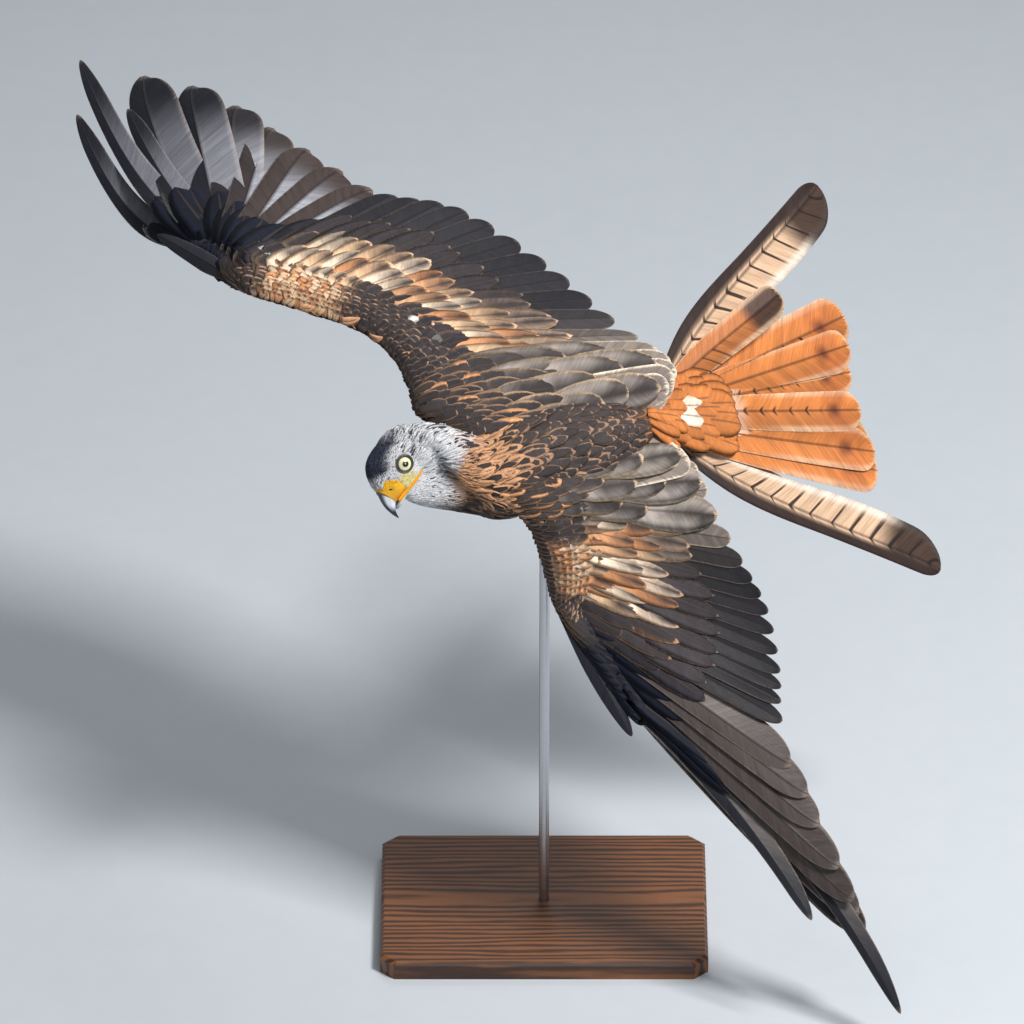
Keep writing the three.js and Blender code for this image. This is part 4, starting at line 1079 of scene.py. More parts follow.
def flightPiece(wing, first, last, name, node):
    size, right = flightFeathers, wing["side"] > 0
    s = stationsAt(size["stations"])
    x, v = np.meshgrid(size["columns"], s)
    outerWeb = smooth(x * wing["side"] * 12 + 0.5)[..., None]
    flat, feathers = np.zeros((*x.shape, 3)), []
    for k in range(first, last):
        inArm, isFinger = k < 14, k > 20
        width = size["scapularWidth"] if k < 0 else size["armWidth"] * wing["spread"]
        if not inArm:
            width = size["fingerWidth"] * wing["fingerSpread"] if isFinger else size["handWidth"] * wing["spread"]
        shaft = mix(1.3, 0.3, s)[None] * (0.7 if inArm else 1)
        ends, outline = (0.7 if inArm else 0.6, 1.8 if k == 21 else 2), fingerOutline if isFinger else plainOutline
        shift = 0.02 if inArm else 0.0 if isFinger else 0.13
        points, up = wingVanes(wing, k, *ends, width, [0, 0], outline, size["columns"], size["stations"], 0.05,
                               shaft=shaft, shift=shift)
        length = stepsOf(points[0, :, 7]).sum()
        if inArm:
            young = smooth((4.5 - k) / 3)
            # Painted shade: the left wing's secondaries are the right wing's black at 0.6
            tint = mix(linear(36, 34, 38) * (1 if right else 0.6), colours["greyBrown"], young) + flat
            tint = mix(tint, tint * 1.6, (1 - outerWeb) * 0.6) * mix(0.8, 1.15, draw.random())
            fringe = mix(linear(104, 92, 86), colours["cream"], young) + flat
            mark = [0.08 + 0.06 * young, 0.2, draw.random()]
        else:
            # Partly the webs' own grey, partly painted sheen: the inner webs are pale, brightest on the right
            # wing, which faces the light, and dimmer on the left
            darker = smooth((k - 17.5) / 3) * (0.55 if right else 0.3)
            inner = mix(colours["primaryGreyAndLitSheen" if right else "handGreyAndDimSheen"], colours["primaryBlack"] * 2.2, darker)
            brown = linear(66, 54, 50) if right else linear(72, 63, 60)
            outside = mix(brown, colours["primaryBlack"], smooth((k - (16 if right else 18)) / 3))
            tint = mix(outside + flat, inner, (1 - outerWeb) * smooth((0.93 - v) / 0.22)[..., None])
            fringe = mix(tint, linear(176, 156, 140), 0.35)
            mark = [0.08 if right else 0.14, 0.12, draw.random()]
        root = [(k - first + 0.5) / (last - first), 0.5]
        feathers.append((points[0], up[0], length / (width / 2), tint, fringe, mark + flat, root))
    stiffPiece(wing["name"] + name, feathers, s, [f"wing_{wing['name']}_{node}"])


for wing in wings:
    flightPiece(wing, -2, 14, "Secondaries", "arm")
    flightPiece(wing, 14, 24, "Primaries", "hand")


# Coverts and scapulars: tiers from the flight feathers forwards, each with its root and tip place,
# its width, its lift at root and tip, and what the keys name
def tiersOf(keys, rows):
    return [{"v": row[:2], "width": row[2], "lift": row[3:5], **dict(zip(keys, row[5:]))} for row in rows]


covertShape = [[0, 0.2], [0.4, 0.48], [0.8, 0.5], [1, 0.44]]
covertOutline = outlineOf(covertShape, covertShape, 0.66, 0.66, 2)
covertTiers = tiersOf(("look", "last", "every"), [
    (1.02, 1.67, 31, 1.6, 1.8, "greater", 14.2, 0.58), (0.9, 1.45, 27, 1.6, 3.0, "median", 14.2, 0.6),
    (0.78, 1.28, 24, 1.8, 3.6, "median", 14.4, 0.6), (0.68, 1.13, 20, 1.4, 3.4, "lesser", 14.6, 0.6),
    (0.57, 0.99, 18, 1.2, 3.0, "lesser", 14.6, 0.62), (0.46, 0.86, 16.5, 0.8, 2.6, "lesser", 14.6, 0.62),
    (0.35, 0.73, 15.5, 0.7, 2.4, "lesser", 14.8, 0.62), (0.25, 0.6, 14, 0.6, 2.2, "lesser", 14.8, 0.62),
    (0.15, 0.47, 13, 0.5, 1.9, "marginal", 15, 0.62), (0.07, 0.34, 11, 0.4, 1.6, "marginal", 15, 0.62),
    (0.0, 0.21, 9.5, 0.3, 1.3, "marginal", 15, 0.62),
])
handTiers = tiersOf(("look", "step", "drift"), [
    (0.8, 1.5, 38, 1.4, 2.0, "greater", 1.0, 0.0), (0.7, 1.27, 32, 1.8, 2.8, "median", 1.0, 0.3),
    (0.5, 1.1, 24, 1.4, 3.0, "lesser", 0.8, 1.4), (0.36, 0.92, 18, 1.0, 2.6, "lesser", 0.7, 2.2),
    (0.18, 0.64, 15, 0.8, 2.2, "lesser", 0.7, 2.4), (0.02, 0.36, 12, 0.5, 1.6, "marginal", 0.7, 2.4),
])
scapularTiers = tiersOf(("look", "every"), [
    (1.2, 1.94, 40, 2.4, 3.2, 1.0, 0.74), (1.06, 1.72, 36, 2.8, 4.6, 0.9, 0.78),
    (0.92, 1.5, 30, 2.8, 5.4, 0.65, 0.78), (0.78, 1.3, 25, 2.6, 5.4, 0.4, 0.74),
    (0.6, 1.12, 21, 2.4, 5.0, 0.25, 0.7), (0.4, 0.96, 18, 2.2, 4.6, 0.15, 0.68),
    (0.3, 0.8, 16, 2.0, 4.2, 0.08, 0.66), (0.2, 0.65, 14.5, 1.8, 3.8, 0.0, 0.66),
    (0.1, 0.5, 13, 1.4, 3.2, 0.0, 0.66), (0.0, 0.34, 12, 1.0, 2.8, 0.0, 0.66),
])
underTiers = tiersOf(("last",), [
    (0.76, 1.42, 30, 1.4, 1.6, 14.2), (0.6, 1.2, 25, 1.0, 2.6, 14.2), (0.46, 1.0, 21, 0.8, 2.6, 14.4),
    (0.3, 0.8, 18, 0.6, 2.4, 14.6), (0.15, 0.6, 15, 0.5, 2.2, 14.8), (0.0, 0.38, 13, 0.4, 1.8, 15),
]) + tiersOf(("step", "drift"), [
    (0.8, 1.42, 36, 1.2, 1.8, 1.0, 0.0), (0.6, 1.16, 26, 1.2, 2.6, 0.8, 1.4),
    (0.36, 0.9, 19, 0.8, 2.4, 0.7, 2.2), (0.1, 0.56, 15, 0.6, 2.0, 0.7, 2.4),
])


# A tint for each vertex of a vane: dark down its middle from some way along, paler at its sides
def streaked(dark, ground, columns, stations, reach, start, fade=0.18):
    x, v = np.meshgrid(np.abs(columns), stationsAt(stations))
    reach, start = (np.broadcast_to(each, len(dark))[:, None, None] for each in (reach, start))
    middle = smooth((reach - x) / 0.5 + 0.5) * smooth((v - start) / fade)
    return mix(ground[:, None, None], dark[:, None, None], middle[..., None])


# The upper wing: dark greater coverts, then a pale band whose feathers have a dark drop each. opened
# is how far into that band a feather is, and reach how far back its tier ends
def upperLook(wing, tier, k):
    count, kind, reach = len(k), tier["look"], tier["v"][1]
    pick, other = draw.random((2, count))
    warm = blend(linear(206, 142, 96), linear(232, 190, 150), smooth(pick * 2 - 0.4))
    charcoal, blue = (np.tile(tone, (count, 1)) for tone in (linear(48, 43, 46), linear(11, 14, 27)))
    inArm = smooth((6.5 - k) / 4)
    if kind == "greater":
        fringe = blend(linear(158, 132, 112), linear(226, 186, 146), inArm)
        ground = blend(linear(62, 56, 58), linear(176, 148, 126), inArm * 0.9)
        tint = streaked(charcoal, ground, wide, 8, 0.45, 0.5)
        share = mix(0.16, 0.36, inArm)
    else:
        if wing["side"] > 0:
            opened = smooth((13.6 - k) / 1.2) * mix(smooth((k - 7.5) / 2), 1.0, smooth((reach - 1.12) / 0.1))
        else:
            opened = smooth((12.4 - k) / 1.6) * smooth((reach - 0.26) / 0.12)
            opened = opened * mix(smooth((k - 4) / 2), 1.0, smooth((reach - 1.0) / 0.2) * smooth((k - 1.5) / 2))
        paleOver, dropWide, dropFrom = (0.46, 0.56, 0.66) if kind == "median" else (0.86, 0.5, 0.58)
        pale = 0.75 * (other > paleOver) * smooth((reach - 0.4) / 0.3)
        ground = blend(linear(98, 86, 80), blend(warm, linear(238, 218, 194), pale), opened)
        fringe = blend(linear(168, 134, 108), blend(warm, linear(232, 192, 152), 0.6 * (other > 0.4)), opened)
        tint = streaked(charcoal, ground, wide, 8, mix(0.72, dropWide, opened), mix(0.3, dropFrom, opened), 0.1)
        share = mix(0.34, 0.46 if kind == "lesser" else 0.34, opened)
        if kind == "marginal":
            tint, fringe = tint * 0.7, fringe * 0.7
    isWhite = 0.85 * (other > 0.88) * smooth(6.4 - k) * smooth(k - 3.0) * (0.95 < reach < 1.2)
    tint = blend(tint, linear(240, 236, 230), isWhite[:, None, None])
    fringe = blend(fringe, linear(240, 236, 230), isWhite)
    hand = smooth((k - 13.4 - (reach < 1.2) * 0.8) / 1.1)
    tint = blend(tint, streaked(blue, blue * 1.7, wide, 8, 0.3, 0.0), hand[:, None, None])
    return tint, blend(fringe, linear(46, 47, 58), hand), share * (1 - 0.7 * hand)


def scapularLook(wing, tier, k):
    count, long = len(k), tier["look"]
    ground = mix(linear(74, 65, 62), linear(160, 149, 140), smooth(long * 1.1 - 0.05))
    ground = ground * draw.uniform(0.75, 1.15, (count, 1))
    dark = linear(52, 46, 46) * draw.uniform(0.85, 1.2, (count, 1))
    tint = streaked(dark, ground, wide, 8, mix(0.78, 0.4, long), mix(0.3, 0.45, long))
    tip = smooth((stationsAt(8) - 0.7) / 0.16)[None, :, None, None] * (np.array(wide) * wing["side"] > 0)[:, None]
    tint = mix(tint, dark[:, None, None], tip * 0.8)
    fringe = mix(linear(168, 128, 98), linear(226, 196, 160), long)
    warm = (draw.random(count) < 0.22) * (long < 0.2)
    return tint, blend(fringe, linear(206, 146, 100), warm), np.where(warm, 0.7, mix(0.34, 0.17, long))


def underLook(wing, tier, k):
    hand = smooth((k - 11) / 3)
    tint = blend(linear(96, 58, 38), linear(150, 146, 146), hand)
    return tint, blend(linear(178, 108, 66), linear(206, 202, 198), hand), np.full(len(k), 0.35)


def tierPiece(wing, name, tiers, start, last, look, upper, ends=0.0, fitted=0.7):
    sets = []
    for tier in tiers:
        first = 13.4 if "step" in tier else start
        fine = np.linspace(first, min(last, tier.get("last", last)) - tier.get("drift", 0) * 0.6, 400)
        line = wing["point"](fine, (tier["v"][0] + tier["v"][1]) / 2)
        along = np.concatenate([[0], np.cumsum(stepsOf(line))])
        if "step" in tier:
            along = fine - first
        size = tier["width"] * (wing["spread"] if "step" in tier else mix(1, wing["spread"], fitted))
        apart = tier.get("step") or size * tier.get("every", 0.5)
        places = np.arange(apart / 2, along[-1], apart)
        k = np.interp(places + draw.uniform(-0.14, 0.14, len(places)) * apart, along, fine)
        long = tier["v"][1] - tier["v"][0]
        v0 = tier["v"][0] + draw.uniform(-0.05, 0.05, len(k)) * long
        v1 = tier["v"][1] + draw.uniform(-0.06, 0.06, len(k)) * long + ends * smooth((k - 12) / 3) * (v0 > 0.7)
        width = size * draw.uniform(0.9, 1.1, len(k))
        drift = tier.get("drift", 0) + draw.normal(0, 0.1, (len(k), 1))
        points, up = wingVanes(wing, k, v0, v1, width, tier["lift"], covertOutline, wide, 8, 0.1, drift,
                               onCore=True, upper=upper)
        tint, fringe, share = look(wing, tier, k)
        tint = (tint if tint.ndim == 4 else tint[:, None, None]) * draw.uniform(0.8, 1.2, (len(k), 1, 1, 1))
        tint = np.broadcast_to(tint, (len(k), 8, len(wide), 3))
        fringe = fringe * draw.uniform(0.86, 1.12, (len(k), 1))
        mark = np.stack([share * draw.uniform(0.75, 1.25, len(k)), np.zeros(len(k)), draw.random(len(k))], -1)
        length = stepsOf(points[:, :, 2]).sum(1) / (width / 2)
        sets.append((points, tint, fringe, mark, length, np.stack([(k + 3) / 27, 0.5 + v0 / 4], -1)))
    nodes = [f"wing_{wing['name']}_arm"] + [f"wing_{wing['name']}_hand"] * (last > 14)
    coatPiece(wing["name"] + name, sets, wide, 8, nodes)


# The alula: short stiff feathers along the leading edge of the hand
alula = {"count": 4, "width": 19, "stations": 20, "from": 14.1, "apart": 0.35}
alulaHalf = numberThrough([[0, 0.3], [0.4, 0.5], [1, 0.5]])


def alulaPiece(wing):
    s, count, columns = stationsAt(alula["stations"]), alula["count"], flightFeathers["columns"]
    facing = wing["normal"](16.0, 0.2)
    spine = []
    for i in range(count):
        root = wing["point"](alula["from"] + i * alula["apart"], 0.2) + facing * (3.2 + 0.2 * i)
        tip = mix(np.array(wing["alulaTip"], float), root, i * 0.14) - wing["normal"](17.0, 0.0) * 0.9 * i
        spine.append(bowed(root, tip, s, facing, 6))
    spine = np.array(spine)
    half = np.broadcast_to(alulaHalf(s) * tipRound(s, 0.5, 1.7) * alula["width"], (count, len(s)))
    shaft = np.full((1, len(s)), 0.5)
    points, up = layVanes(spine, np.broadcast_to(facing, spine.shape), half, half, columns, 0.0, 0.08, shaft)
    tint = np.broadcast_to(colours["primaryBlack"], (count, 1, 1, 3))
    mark = np.array([[0.05, 0, draw.random()] for i in range(count)])[:, None, None]
    roots = np.stack([np.linspace(0.2, 0.8, count), np.full(count, 0.5)], -1)
    lengths, under = np.full(count, 9.0), points - up[:, :, None] * 0.5
    featherPiece(wing["name"] + "Alula", points, s, columns, tint, linear(92, 84, 84), mark, lengths, roots, stiff,
                 [f"wing_{wing['name']}_hand"], under)


for wing in wings:
    tierPiece(wing, "Coverts", covertTiers + handTiers, -0.6, 23.5, upperLook, 1, -0.12)
    tierPiece(wing, "Scapulars", scapularTiers, -2.9, 1.9, scapularLook, 1, 0, 0.3)
    tierPiece(wing, "UnderCoverts", underTiers, -0.6, 23.3, underLook, -1)
    alulaPiece(wing)

# The tail
tailPlace = onAxes(body, -97, 0, 2)
tailNormal = unit(np.array([0.7, 0.45, 1]))
tail = {
    "tips": [  # place from the left outer to the right, and the tip from the tail's root, mm
        [-6, 286, -149, -133], [-5, 135, -79, -65], [-4, 223, -53, -131], [-3, 220, -35, -133],
        [-2, 213, -22, -137], [-1, 206, -9, -143], [1, 205, 5, -144], [2, 196, 43, -156],
        [3, 195, 70, -164], [4, 192, 99, -174], [5, 127, 120, -103], [6, 168, 229, -212],
    ],
    "widths": {1: 42, 2: 42, 3: 46, 4: 54, 5: 36, 6: 54},
    "bow": {5: 4, 6: 12},  # mm that the outer feathers bend outwards near their roots
    "sag": -8,
    "apart": 3,  # mm between roots
    "back": 14,
    "layer": 1.1,  # mm that a feather lies under its inner neighbour
    "stations": 48,
}
tailOutline = outlineOf([[0, 0.12], [0.25, 0.34], [0.6, 0.44], [0.9, 0.48], [1, 0.46]],
                        [[0, 0.12], [0.25, 0.38], [0.6, 0.5], [0.9, 0.52], [1, 0.48]], 0.93, 0.9)
edgeOutline = outlineOf([[0, 0.12], [0.25, 0.32], [0.6, 0.27], [0.88, 0.26], [1, 0.24]],
                        [[0, 0.12], [0.25, 0.36], [0.6, 0.62], [0.88, 0.62], [1, 0.5]], 0.93, 0.9)
tailBack = unit(np.array(tail["tips"][5][1:], float) + np.array(tail["tips"][6][1:], float))
tailAcross = unit(np.cross(tailBack, tailNormal))
tailAcross = tailAcross * np.sign(tailAcross @ body["right"])


def tailPiece():
    columns, s = flightFeathers["columns"], stationsAt(tail["stations"])
    x, v = np.meshgrid(columns, s)
    flat, a = np.zeros((*x.shape, 3)), np.abs(x)
    edge = smooth((a - 0.62) / 0.3)
    rufous, cream, dark = colours["tail"], colours["tailCream"], colours["tailDark"]
    feathers = []
    for place, *reach in tail["tips"]:
        number, width = abs(place), tail["widths"][abs(place)]
        lift = -number * tail["layer"] + (0.55 if place == 1 else 0) + 3
        root = tailPlace + tailAcross * place * tail["apart"] + tailNormal * lift + tailBack * tail["back"]
        end = tailPlace + np.array(reach, float) + tailNormal * lift
        spread = (tail["bow"].get(number, 0) * 6.75 * s * (1 - s) ** 2)[:, None]
        spine = bowed(root, end, s, tailNormal, tail["sag"]) + tailAcross * np.sign(place) * spread
        side = np.sign(place) * np.sign(np.cross(tailNormal, tailBack) @ tailAcross)
        halves = [half(s) * width for half in (edgeOutline if number == 6 else tailOutline)]
        plus, minus = halves if side > 0 else halves[::-1]
        points, up = layVanes(spine[None], np.broadcast_to(tailNormal, (1, len(s), 3)), plus[None], minus[None],
                              columns, 0.0, 0.04, mix(1.3, 0.3, s)[None])
        innerWeb = smooth(-x * side * 12 + 0.5)
        tint, fringe, bars = rufous + flat, mix(rufous, cream, 0.7) + flat, np.zeros(x.shape)
        if number == 6:
            innerWeb = smooth((0.28 - x * side) * 8 + 0.5)
            warm = mix(linear(168, 122, 92), cream, 0.45)
            tint = blend(dark, mix(warm, linear(226, 212, 196), edge[..., None]), innerWeb)
            tint = blend(tint, dark, smooth((v - 0.74) / 0.1 - 0.3 * edge) * 0.95)
            fringe, bars = tint, innerWeb * smooth((0.86 - a) / 0.3) * 0.95
        elif number == 5:
            tint = blend(tint * 0.8, dark, smooth((v - 0.7) / 0.1) * 0.92)
            bars = innerWeb * smooth((0.6 - v) / 0.1) * 0.8
        elif number == 4:
            tint = blend(tint, cream, innerWeb * smooth((0.7 - v) / 0.2) * 0.75)
            bars = innerWeb * smooth((0.84 - v) / 0.08) * smooth((0.8 - a) / 0.3) * 0.95
        elif number <= 2:
            tint = blend(tint, linear(240, 226, 206), smooth((0.44 - v) / 0.12) * 0.7)
            bars = smooth((0.24 - a) / 0.1) * smooth((0.84 - v) / 0.1) * 0.85
        if number < 6:
            # Painted shade: the inner web, which lies under the neighbouring feather, darkens to 0.72, and the
            # outer web lightens to 1.08
            tint = tint * mix(0.72, 1.08, smooth(x * side * 0.7 + 0.55))[..., None]
            tint = blend(tint, mix(rufous, cream, 0.75), edge * smooth((v - 0.4) / 0.3) * 0.6)
        if number < 5:
            tint = blend(tint, dark, smooth(1.5 - np.abs(v - 0.86) / 0.025) * smooth((0.5 - a) / 0.4) * 0.8)
            tint = blend(tint, linear(150, 76, 40), smooth((v - 0.78) / 0.06) * smooth((0.97 - v) / 0.05) * 0.35)
        mark = np.stack([np.full(x.shape, 0.06), bars, np.full(x.shape, draw.random())], -1)
        length = np.linalg.norm(end - root) / (width / 2)
        feathers.append((points[0], up[0], length, tint, fringe, mark, [(place + 6.5) / 13, 0.5]))
    stiffPiece("tailFeathers", feathers, s, ["tail"])


tailPiece()


# Rows hold root and reach along the tail, width and count; fan is how far the outer ones lie across
tailCoverts = {
    "upper": [(28, 100, 30, 7), (14, 84, 28, 7), (2, 66, 26, 6), (-8, 48, 24, 6), (-16, 32, 22, 6)],
    "under": [(30, 112, 30, 6), (12, 92, 30, 6), (-4, 70, 28, 6), (-16, 48, 26, 6)],
    "fan": (17, 34),
    "lift": (9, 1.3),  # mm of the first row and of each row more
    "bow": 5,
    "stations": 10,
}


def tailCovertPiece(name, over, pale):
    s, facing = stationsAt(tailCoverts["stations"]), tailNormal * (1 if over else -1)
    (near, far), (low, rowLift) = tailCoverts["fan"], tailCoverts["lift"]
    spines, widths, whites = [], [], []
    for row, (start, reach, width, count) in enumerate(tailCoverts[name]):
        for i in range(count):
            place = (i + 0.5 * (row % 2)) / max(count - 1, 1) * 2 - 1
            first, last = start + draw.uniform(-4, 4), reach - 10 * place**2 + draw.uniform(-4, 4)
            lift = low + rowLift * row - (3 if over else 2) * place**2
            root = tailPlace + tailAcross * place * near + tailBack * first + facing * lift
            tip = tailPlace + tailAcross * place * far + tailBack * last + facing * lift * 0.75
            spines.append(bowed(root, tip, s, facing, tailCoverts["bow"]))
            widths.append(width * draw.uniform(0.9, 1.1))
            whites.append(abs(place + 0.05) < 0.25 and row == 2 and over)
    spine, width, white, count = np.array(spines), np.array(widths), np.array(whites)[:, None], len(spines)
    half = covertOutline[0](s) * width[:, None]
    points, up = layVanes(spine, np.broadcast_to(facing, spine.shape), half, half, wide,
                          draw.normal(0, 0.04, (count, 1)), 0.12)
    tint = np.where(white, linear(226, 210, 190), pale) * draw.uniform(0.85, 1.12, (count, 1))
    fringe = np.where(white, mix(pale, colours["tailCream"], 0.6), mix(pale, colours["darkBrown"], 0.35))
    mark = np.stack([np.where(white[:, 0], 0.5, 0.2), np.zeros(count), draw.random(count)], -1)
    uv = np.stack([np.linspace(0.1, 0.9, count), np.full(count, 0.5)], -1)
    lengths = np.linalg.norm(spine[:, -1] - spine[:, 0], axis=1) / (width / 2)
    tint, fringe, mark = (layer[:, None, None] for layer in (tint, fringe, mark))
    featherPiece(name + "TailCoverts", points, s, wide, tint, fringe, mark, lengths, uv, feather,
                 ["tail"])


tailCovertPiece("upper", True, colours["tail"])
tailCovertPiece("under", False, colours["buff"])


# The bill, the cere, the mouth, the eyes and the feet
def sectionLoft(sections, rows, columns, power=2.0):
    keys = [[i, *top, *bottom, half] for i, (top, bottom, half) in enumerate(sections)]
    row = curveThrough(keys)(np.linspace(0, len(keys) - 1, rows))
    a, b = onAxes(head, row[:, 0], 0, row[:, 1]), onAxes(head, row[:, 2], 0, row[:, 3])
    angle = onceRound(columns)
    c, s = np.cos(angle), np.sin(angle)
    c, s = np.sign(c) * np.abs(c) ** (2 / power), np.sign(s) * np.abs(s) ** (2 / power)
    middle, half = (a + b) / 2, (a - b) / 2
    return middle[:, None] + half[:, None] * s[:, None] + head["right"] * (c * row[:, 4:5])[..., None]


def bareSurface(name, gloss, bumpScale, bumpDepth, scales=0.0):
    material, tree, surface = startMaterial(name, Roughness=gloss)
    place = placeOf(tree)
    grain, broad = noiseOf(tree, place, bumpScale, 4, 0.6), noiseOf(tree, place, bumpScale * 0.12, 3)
    cells = node(tree, "ShaderNodeTexVoronoi", {"Vector": place, "Scale": bumpScale * 0.6}).outputs["Distance"]
    cloud = plus(tree, times(tree, grain, 0.5), times(tree, broad, 0.5))
    base = shaded(tree, attribute(tree, "tint", "Color"), rampOf(tree, cloud, 0.3, 0.7, 0.8, 1.15))
    finishSurface(tree, surface, base, plus(tree, grain, times(tree, cells, scales)), 0.5, bumpDepth)
    return material


yellowLook = bareSurface("yellowSkin", 0.42, 900, 0.0003, 0.6)
hornLook = bareSurface("horn", 0.24, 1400, 0.00008)
scaleLook = bareSurface("scales", 0.5, 500, 0.0006, 1.4)
cereSections = [
    [[15, 2.5], [10, -19.5], 19.5], [[20.5, 4.4], [17, -20.4], 16.2], [[26, 3.4], [22, -21], 11.6],
    [[29, 1.4], [25, -21.3], 8.6], [[31, -0.4], [26.4, -21.4], 7.0], [[31.4, -1.2], [27, -21.5], 6.4],
]
billSections = [
    [[30.6, -0.4], [26.2, -21.3], 6.6], [[34.2, -7.5], [28.6, -22.8], 5.6], [[36.4, -14], [30.6, -24.4], 4.5],
    [[37.3, -20], [32.4, -26], 3.3], [[37.2, -27], [34, -28.8], 2.0], [[36.2, -33], [35.3, -32.6], 0.5],
]
lowerSections = [
    [[10, -19], [8, -26], 10], [[19, -20.4], [18, -26.6], 7.4], [[25.5, -22], [25, -27.4], 5],
    [[29, -23.8], [28.6, -27.4], 3], [[30.6, -25.2], [30.2, -26.6], 1.2],
]


def cerePiece():
    rings = sectionLoft(cereSections, 46, 96, 2.3)
    points = rings.reshape(-1, 3)
    tone = colours["yellow"]
    middle = rings.mean(1)[:, None] + np.zeros_like(rings)
    outward = unit(points - middle.reshape(-1, 3))
    for side in (-1, 1):
        ahead, right, up = inAxes(head, points)
        d = np.hypot((ahead - 24.2) / 1.7, (up + 5.6) / 1.05)
        near = (right * side > 3) & (d < 3)
        points = points - outward * (np.where(near, 1.7 * smooth((1.35 - d) / 0.9), 0))[:, None]
        points = points + outward * (np.where(near, 0.35 * np.exp(-(((d - 1.7) / 0.5) ** 2)), 0))[:, None]
        # Painted shade: the cere darkens to near black inside the pressed-in nostril
        tone = blend(tone, linear(30, 20, 10), np.where(near, smooth((1.15 - d) / 0.5), 0))
    ahead, right, up = inAxes(head, points)
    tone = blend(tone, colours["orange"], 0.55 * smooth((-11 - up) / 6))
    tone = blend(tone, colours["hornDark"], smooth((ahead - 29.6 - 0.14 * (up + 1)) / 1.2) * 0.8)
    thing = loftPiece("cereSkin", points.reshape(rings.shape))
    setColour(thing, "tint", tone)
    finishPiece(thing, yellowLook, ["cere"])


def billPiece(name, sections, nodeName, darkness):
    rings = sectionLoft(sections, 60, 56)
    along = np.linspace(0, 1, 60)[:, None]
    ridge = smooth((np.sin(onceRound(56)[None]) - 0.55) / 0.4)
    dark = np.clip(smooth((along - 0.3) / 0.42) + ridge * smooth((along + 0.15) / 0.2) * 0.9, 0, 1) * darkness
    thing = loftPiece(name, rings)
    tone = blend(colours["hornPale"], colours["hornDark"], dark)
    setColour(thing, "tint", tone.reshape(-1, 3))
    finishPiece(thing, hornLook, [nodeName])


# A round rod of varying thickness along a smooth line
def rodRings(line, radii, rows, columns, hint):
    t = np.linspace(0, len(line) - 1, rows)
    at = curveThrough([[i, *p] for i, p in enumerate(line)])(t)
    thick = numberThrough([[i, r] for i, r in enumerate(radii)])(t)
    along = unit(np.gradient(at, axis=0))
    side = unit(np.cross(along, hint))
    up = np.cross(along, side)
    angle = onceRound(columns)
    ring = side[:, None] * np.cos(angle)[None, :, None] + up[:, None] * np.sin(angle)[None, :, None]
    return at[:, None] + ring * np.maximum(thick, 0.05)[:, None, None]


# One piece from lofts that each have a tone
def joinPieces(name, groups, look, nodes):
    faces, start = [], 0
    for rings, tone in groups:
        faces += loftFaces(rings, start)
        start += rings.size // 3
    thing = meshFrom(name, np.concatenate([rings.reshape(-1, 3) for rings, tone in groups]), faces)
    tones = [np.broadcast_to(tone, (rings.size // 3, 3)) for rings, tone in groups]
    setColour(thing, "tint", np.concatenate(tones))
    finishPiece(thing, look, nodes)


gapeThick = [0.35, 0.65, 0.75, 0.85, 0.95, 1.15, 1.3, 1.35, 1.3]  # from the corner of the mouth forwards


def gapePiece():
    groups = []
    for side in (-1, 1):
        for edge in (1, -1):
            line = gapePlace(side, np.linspace(0, 4, 9), edge * 0.72)
            tone = mix(colours["orange"], colours["yellow"], 0.9 if edge > 0 else 0.5)
            groups.append((rodRings(line, gapeThick, 60, 14, head["up"]), tone))
    joinPieces("gape", groups, yellowLook, ["head"])


# Each nostril: a slit in the cere with a low rim, the slit painted dark as the shade inside the opening
nostril = {"ahead": 24.6, "out": 12, "up": -5.4, "slit": (1.7, 1.05, 0.45), "rim": (1.9, 1.25, 0.34)}  # mm


def nostrilPiece():
    (long, high, deep), at = nostril["rim"], [nostril[key] for key in ("ahead", "out", "up")]
    groups = []
    for side in (-1, 1):
        found, facing, away = (x[0] for x in onSkin(onAxes(head, at[0], side * at[1], at[2])[None]))
        along = unit(head["ahead"] * 0.9 + head["up"] * 0.4)
        along = unit(along - facing * (along @ facing))
        axes = np.stack([along, np.cross(facing, along), facing])
        pit = ballRings((0, 0, 0), 1.0, 14, 24) * np.array(nostril["slit"])
        turn, roll = np.linspace(0, 2 * math.pi, 41)[:, None], onceRound(8)[None]
        out = 1 + 0.22 * np.cos(roll)
        rim = np.stack([long * out * np.cos(turn), high * out * np.sin(turn), deep * np.sin(roll) + 0 * turn], -1)
        # Painted shade: the shallow pit is near black (26, 18, 12), as the shade inside the nostril's opening
        groups += [(pit @ axes + found, linear(26, 18, 12)), (rim @ axes + found, colours["yellow"] * 0.9)]
    joinPieces("nostrils", groups, yellowLook, ["cere"])


# Directions once round an eye's axis
def roundAxis(axis, turn):
    first = unit(np.cross(axis, head["up"]))
    return first * np.cos(turn)[:, None] + np.cross(axis, first) * np.sin(turn)[:, None]


lids = [
    {"radius": 7.75, "thick": 0.85, "height": 0.0, "pale": 1.0},
    {"radius": 8.9, "thick": 0.8, "height": 0.15, "pale": 1.6},
]


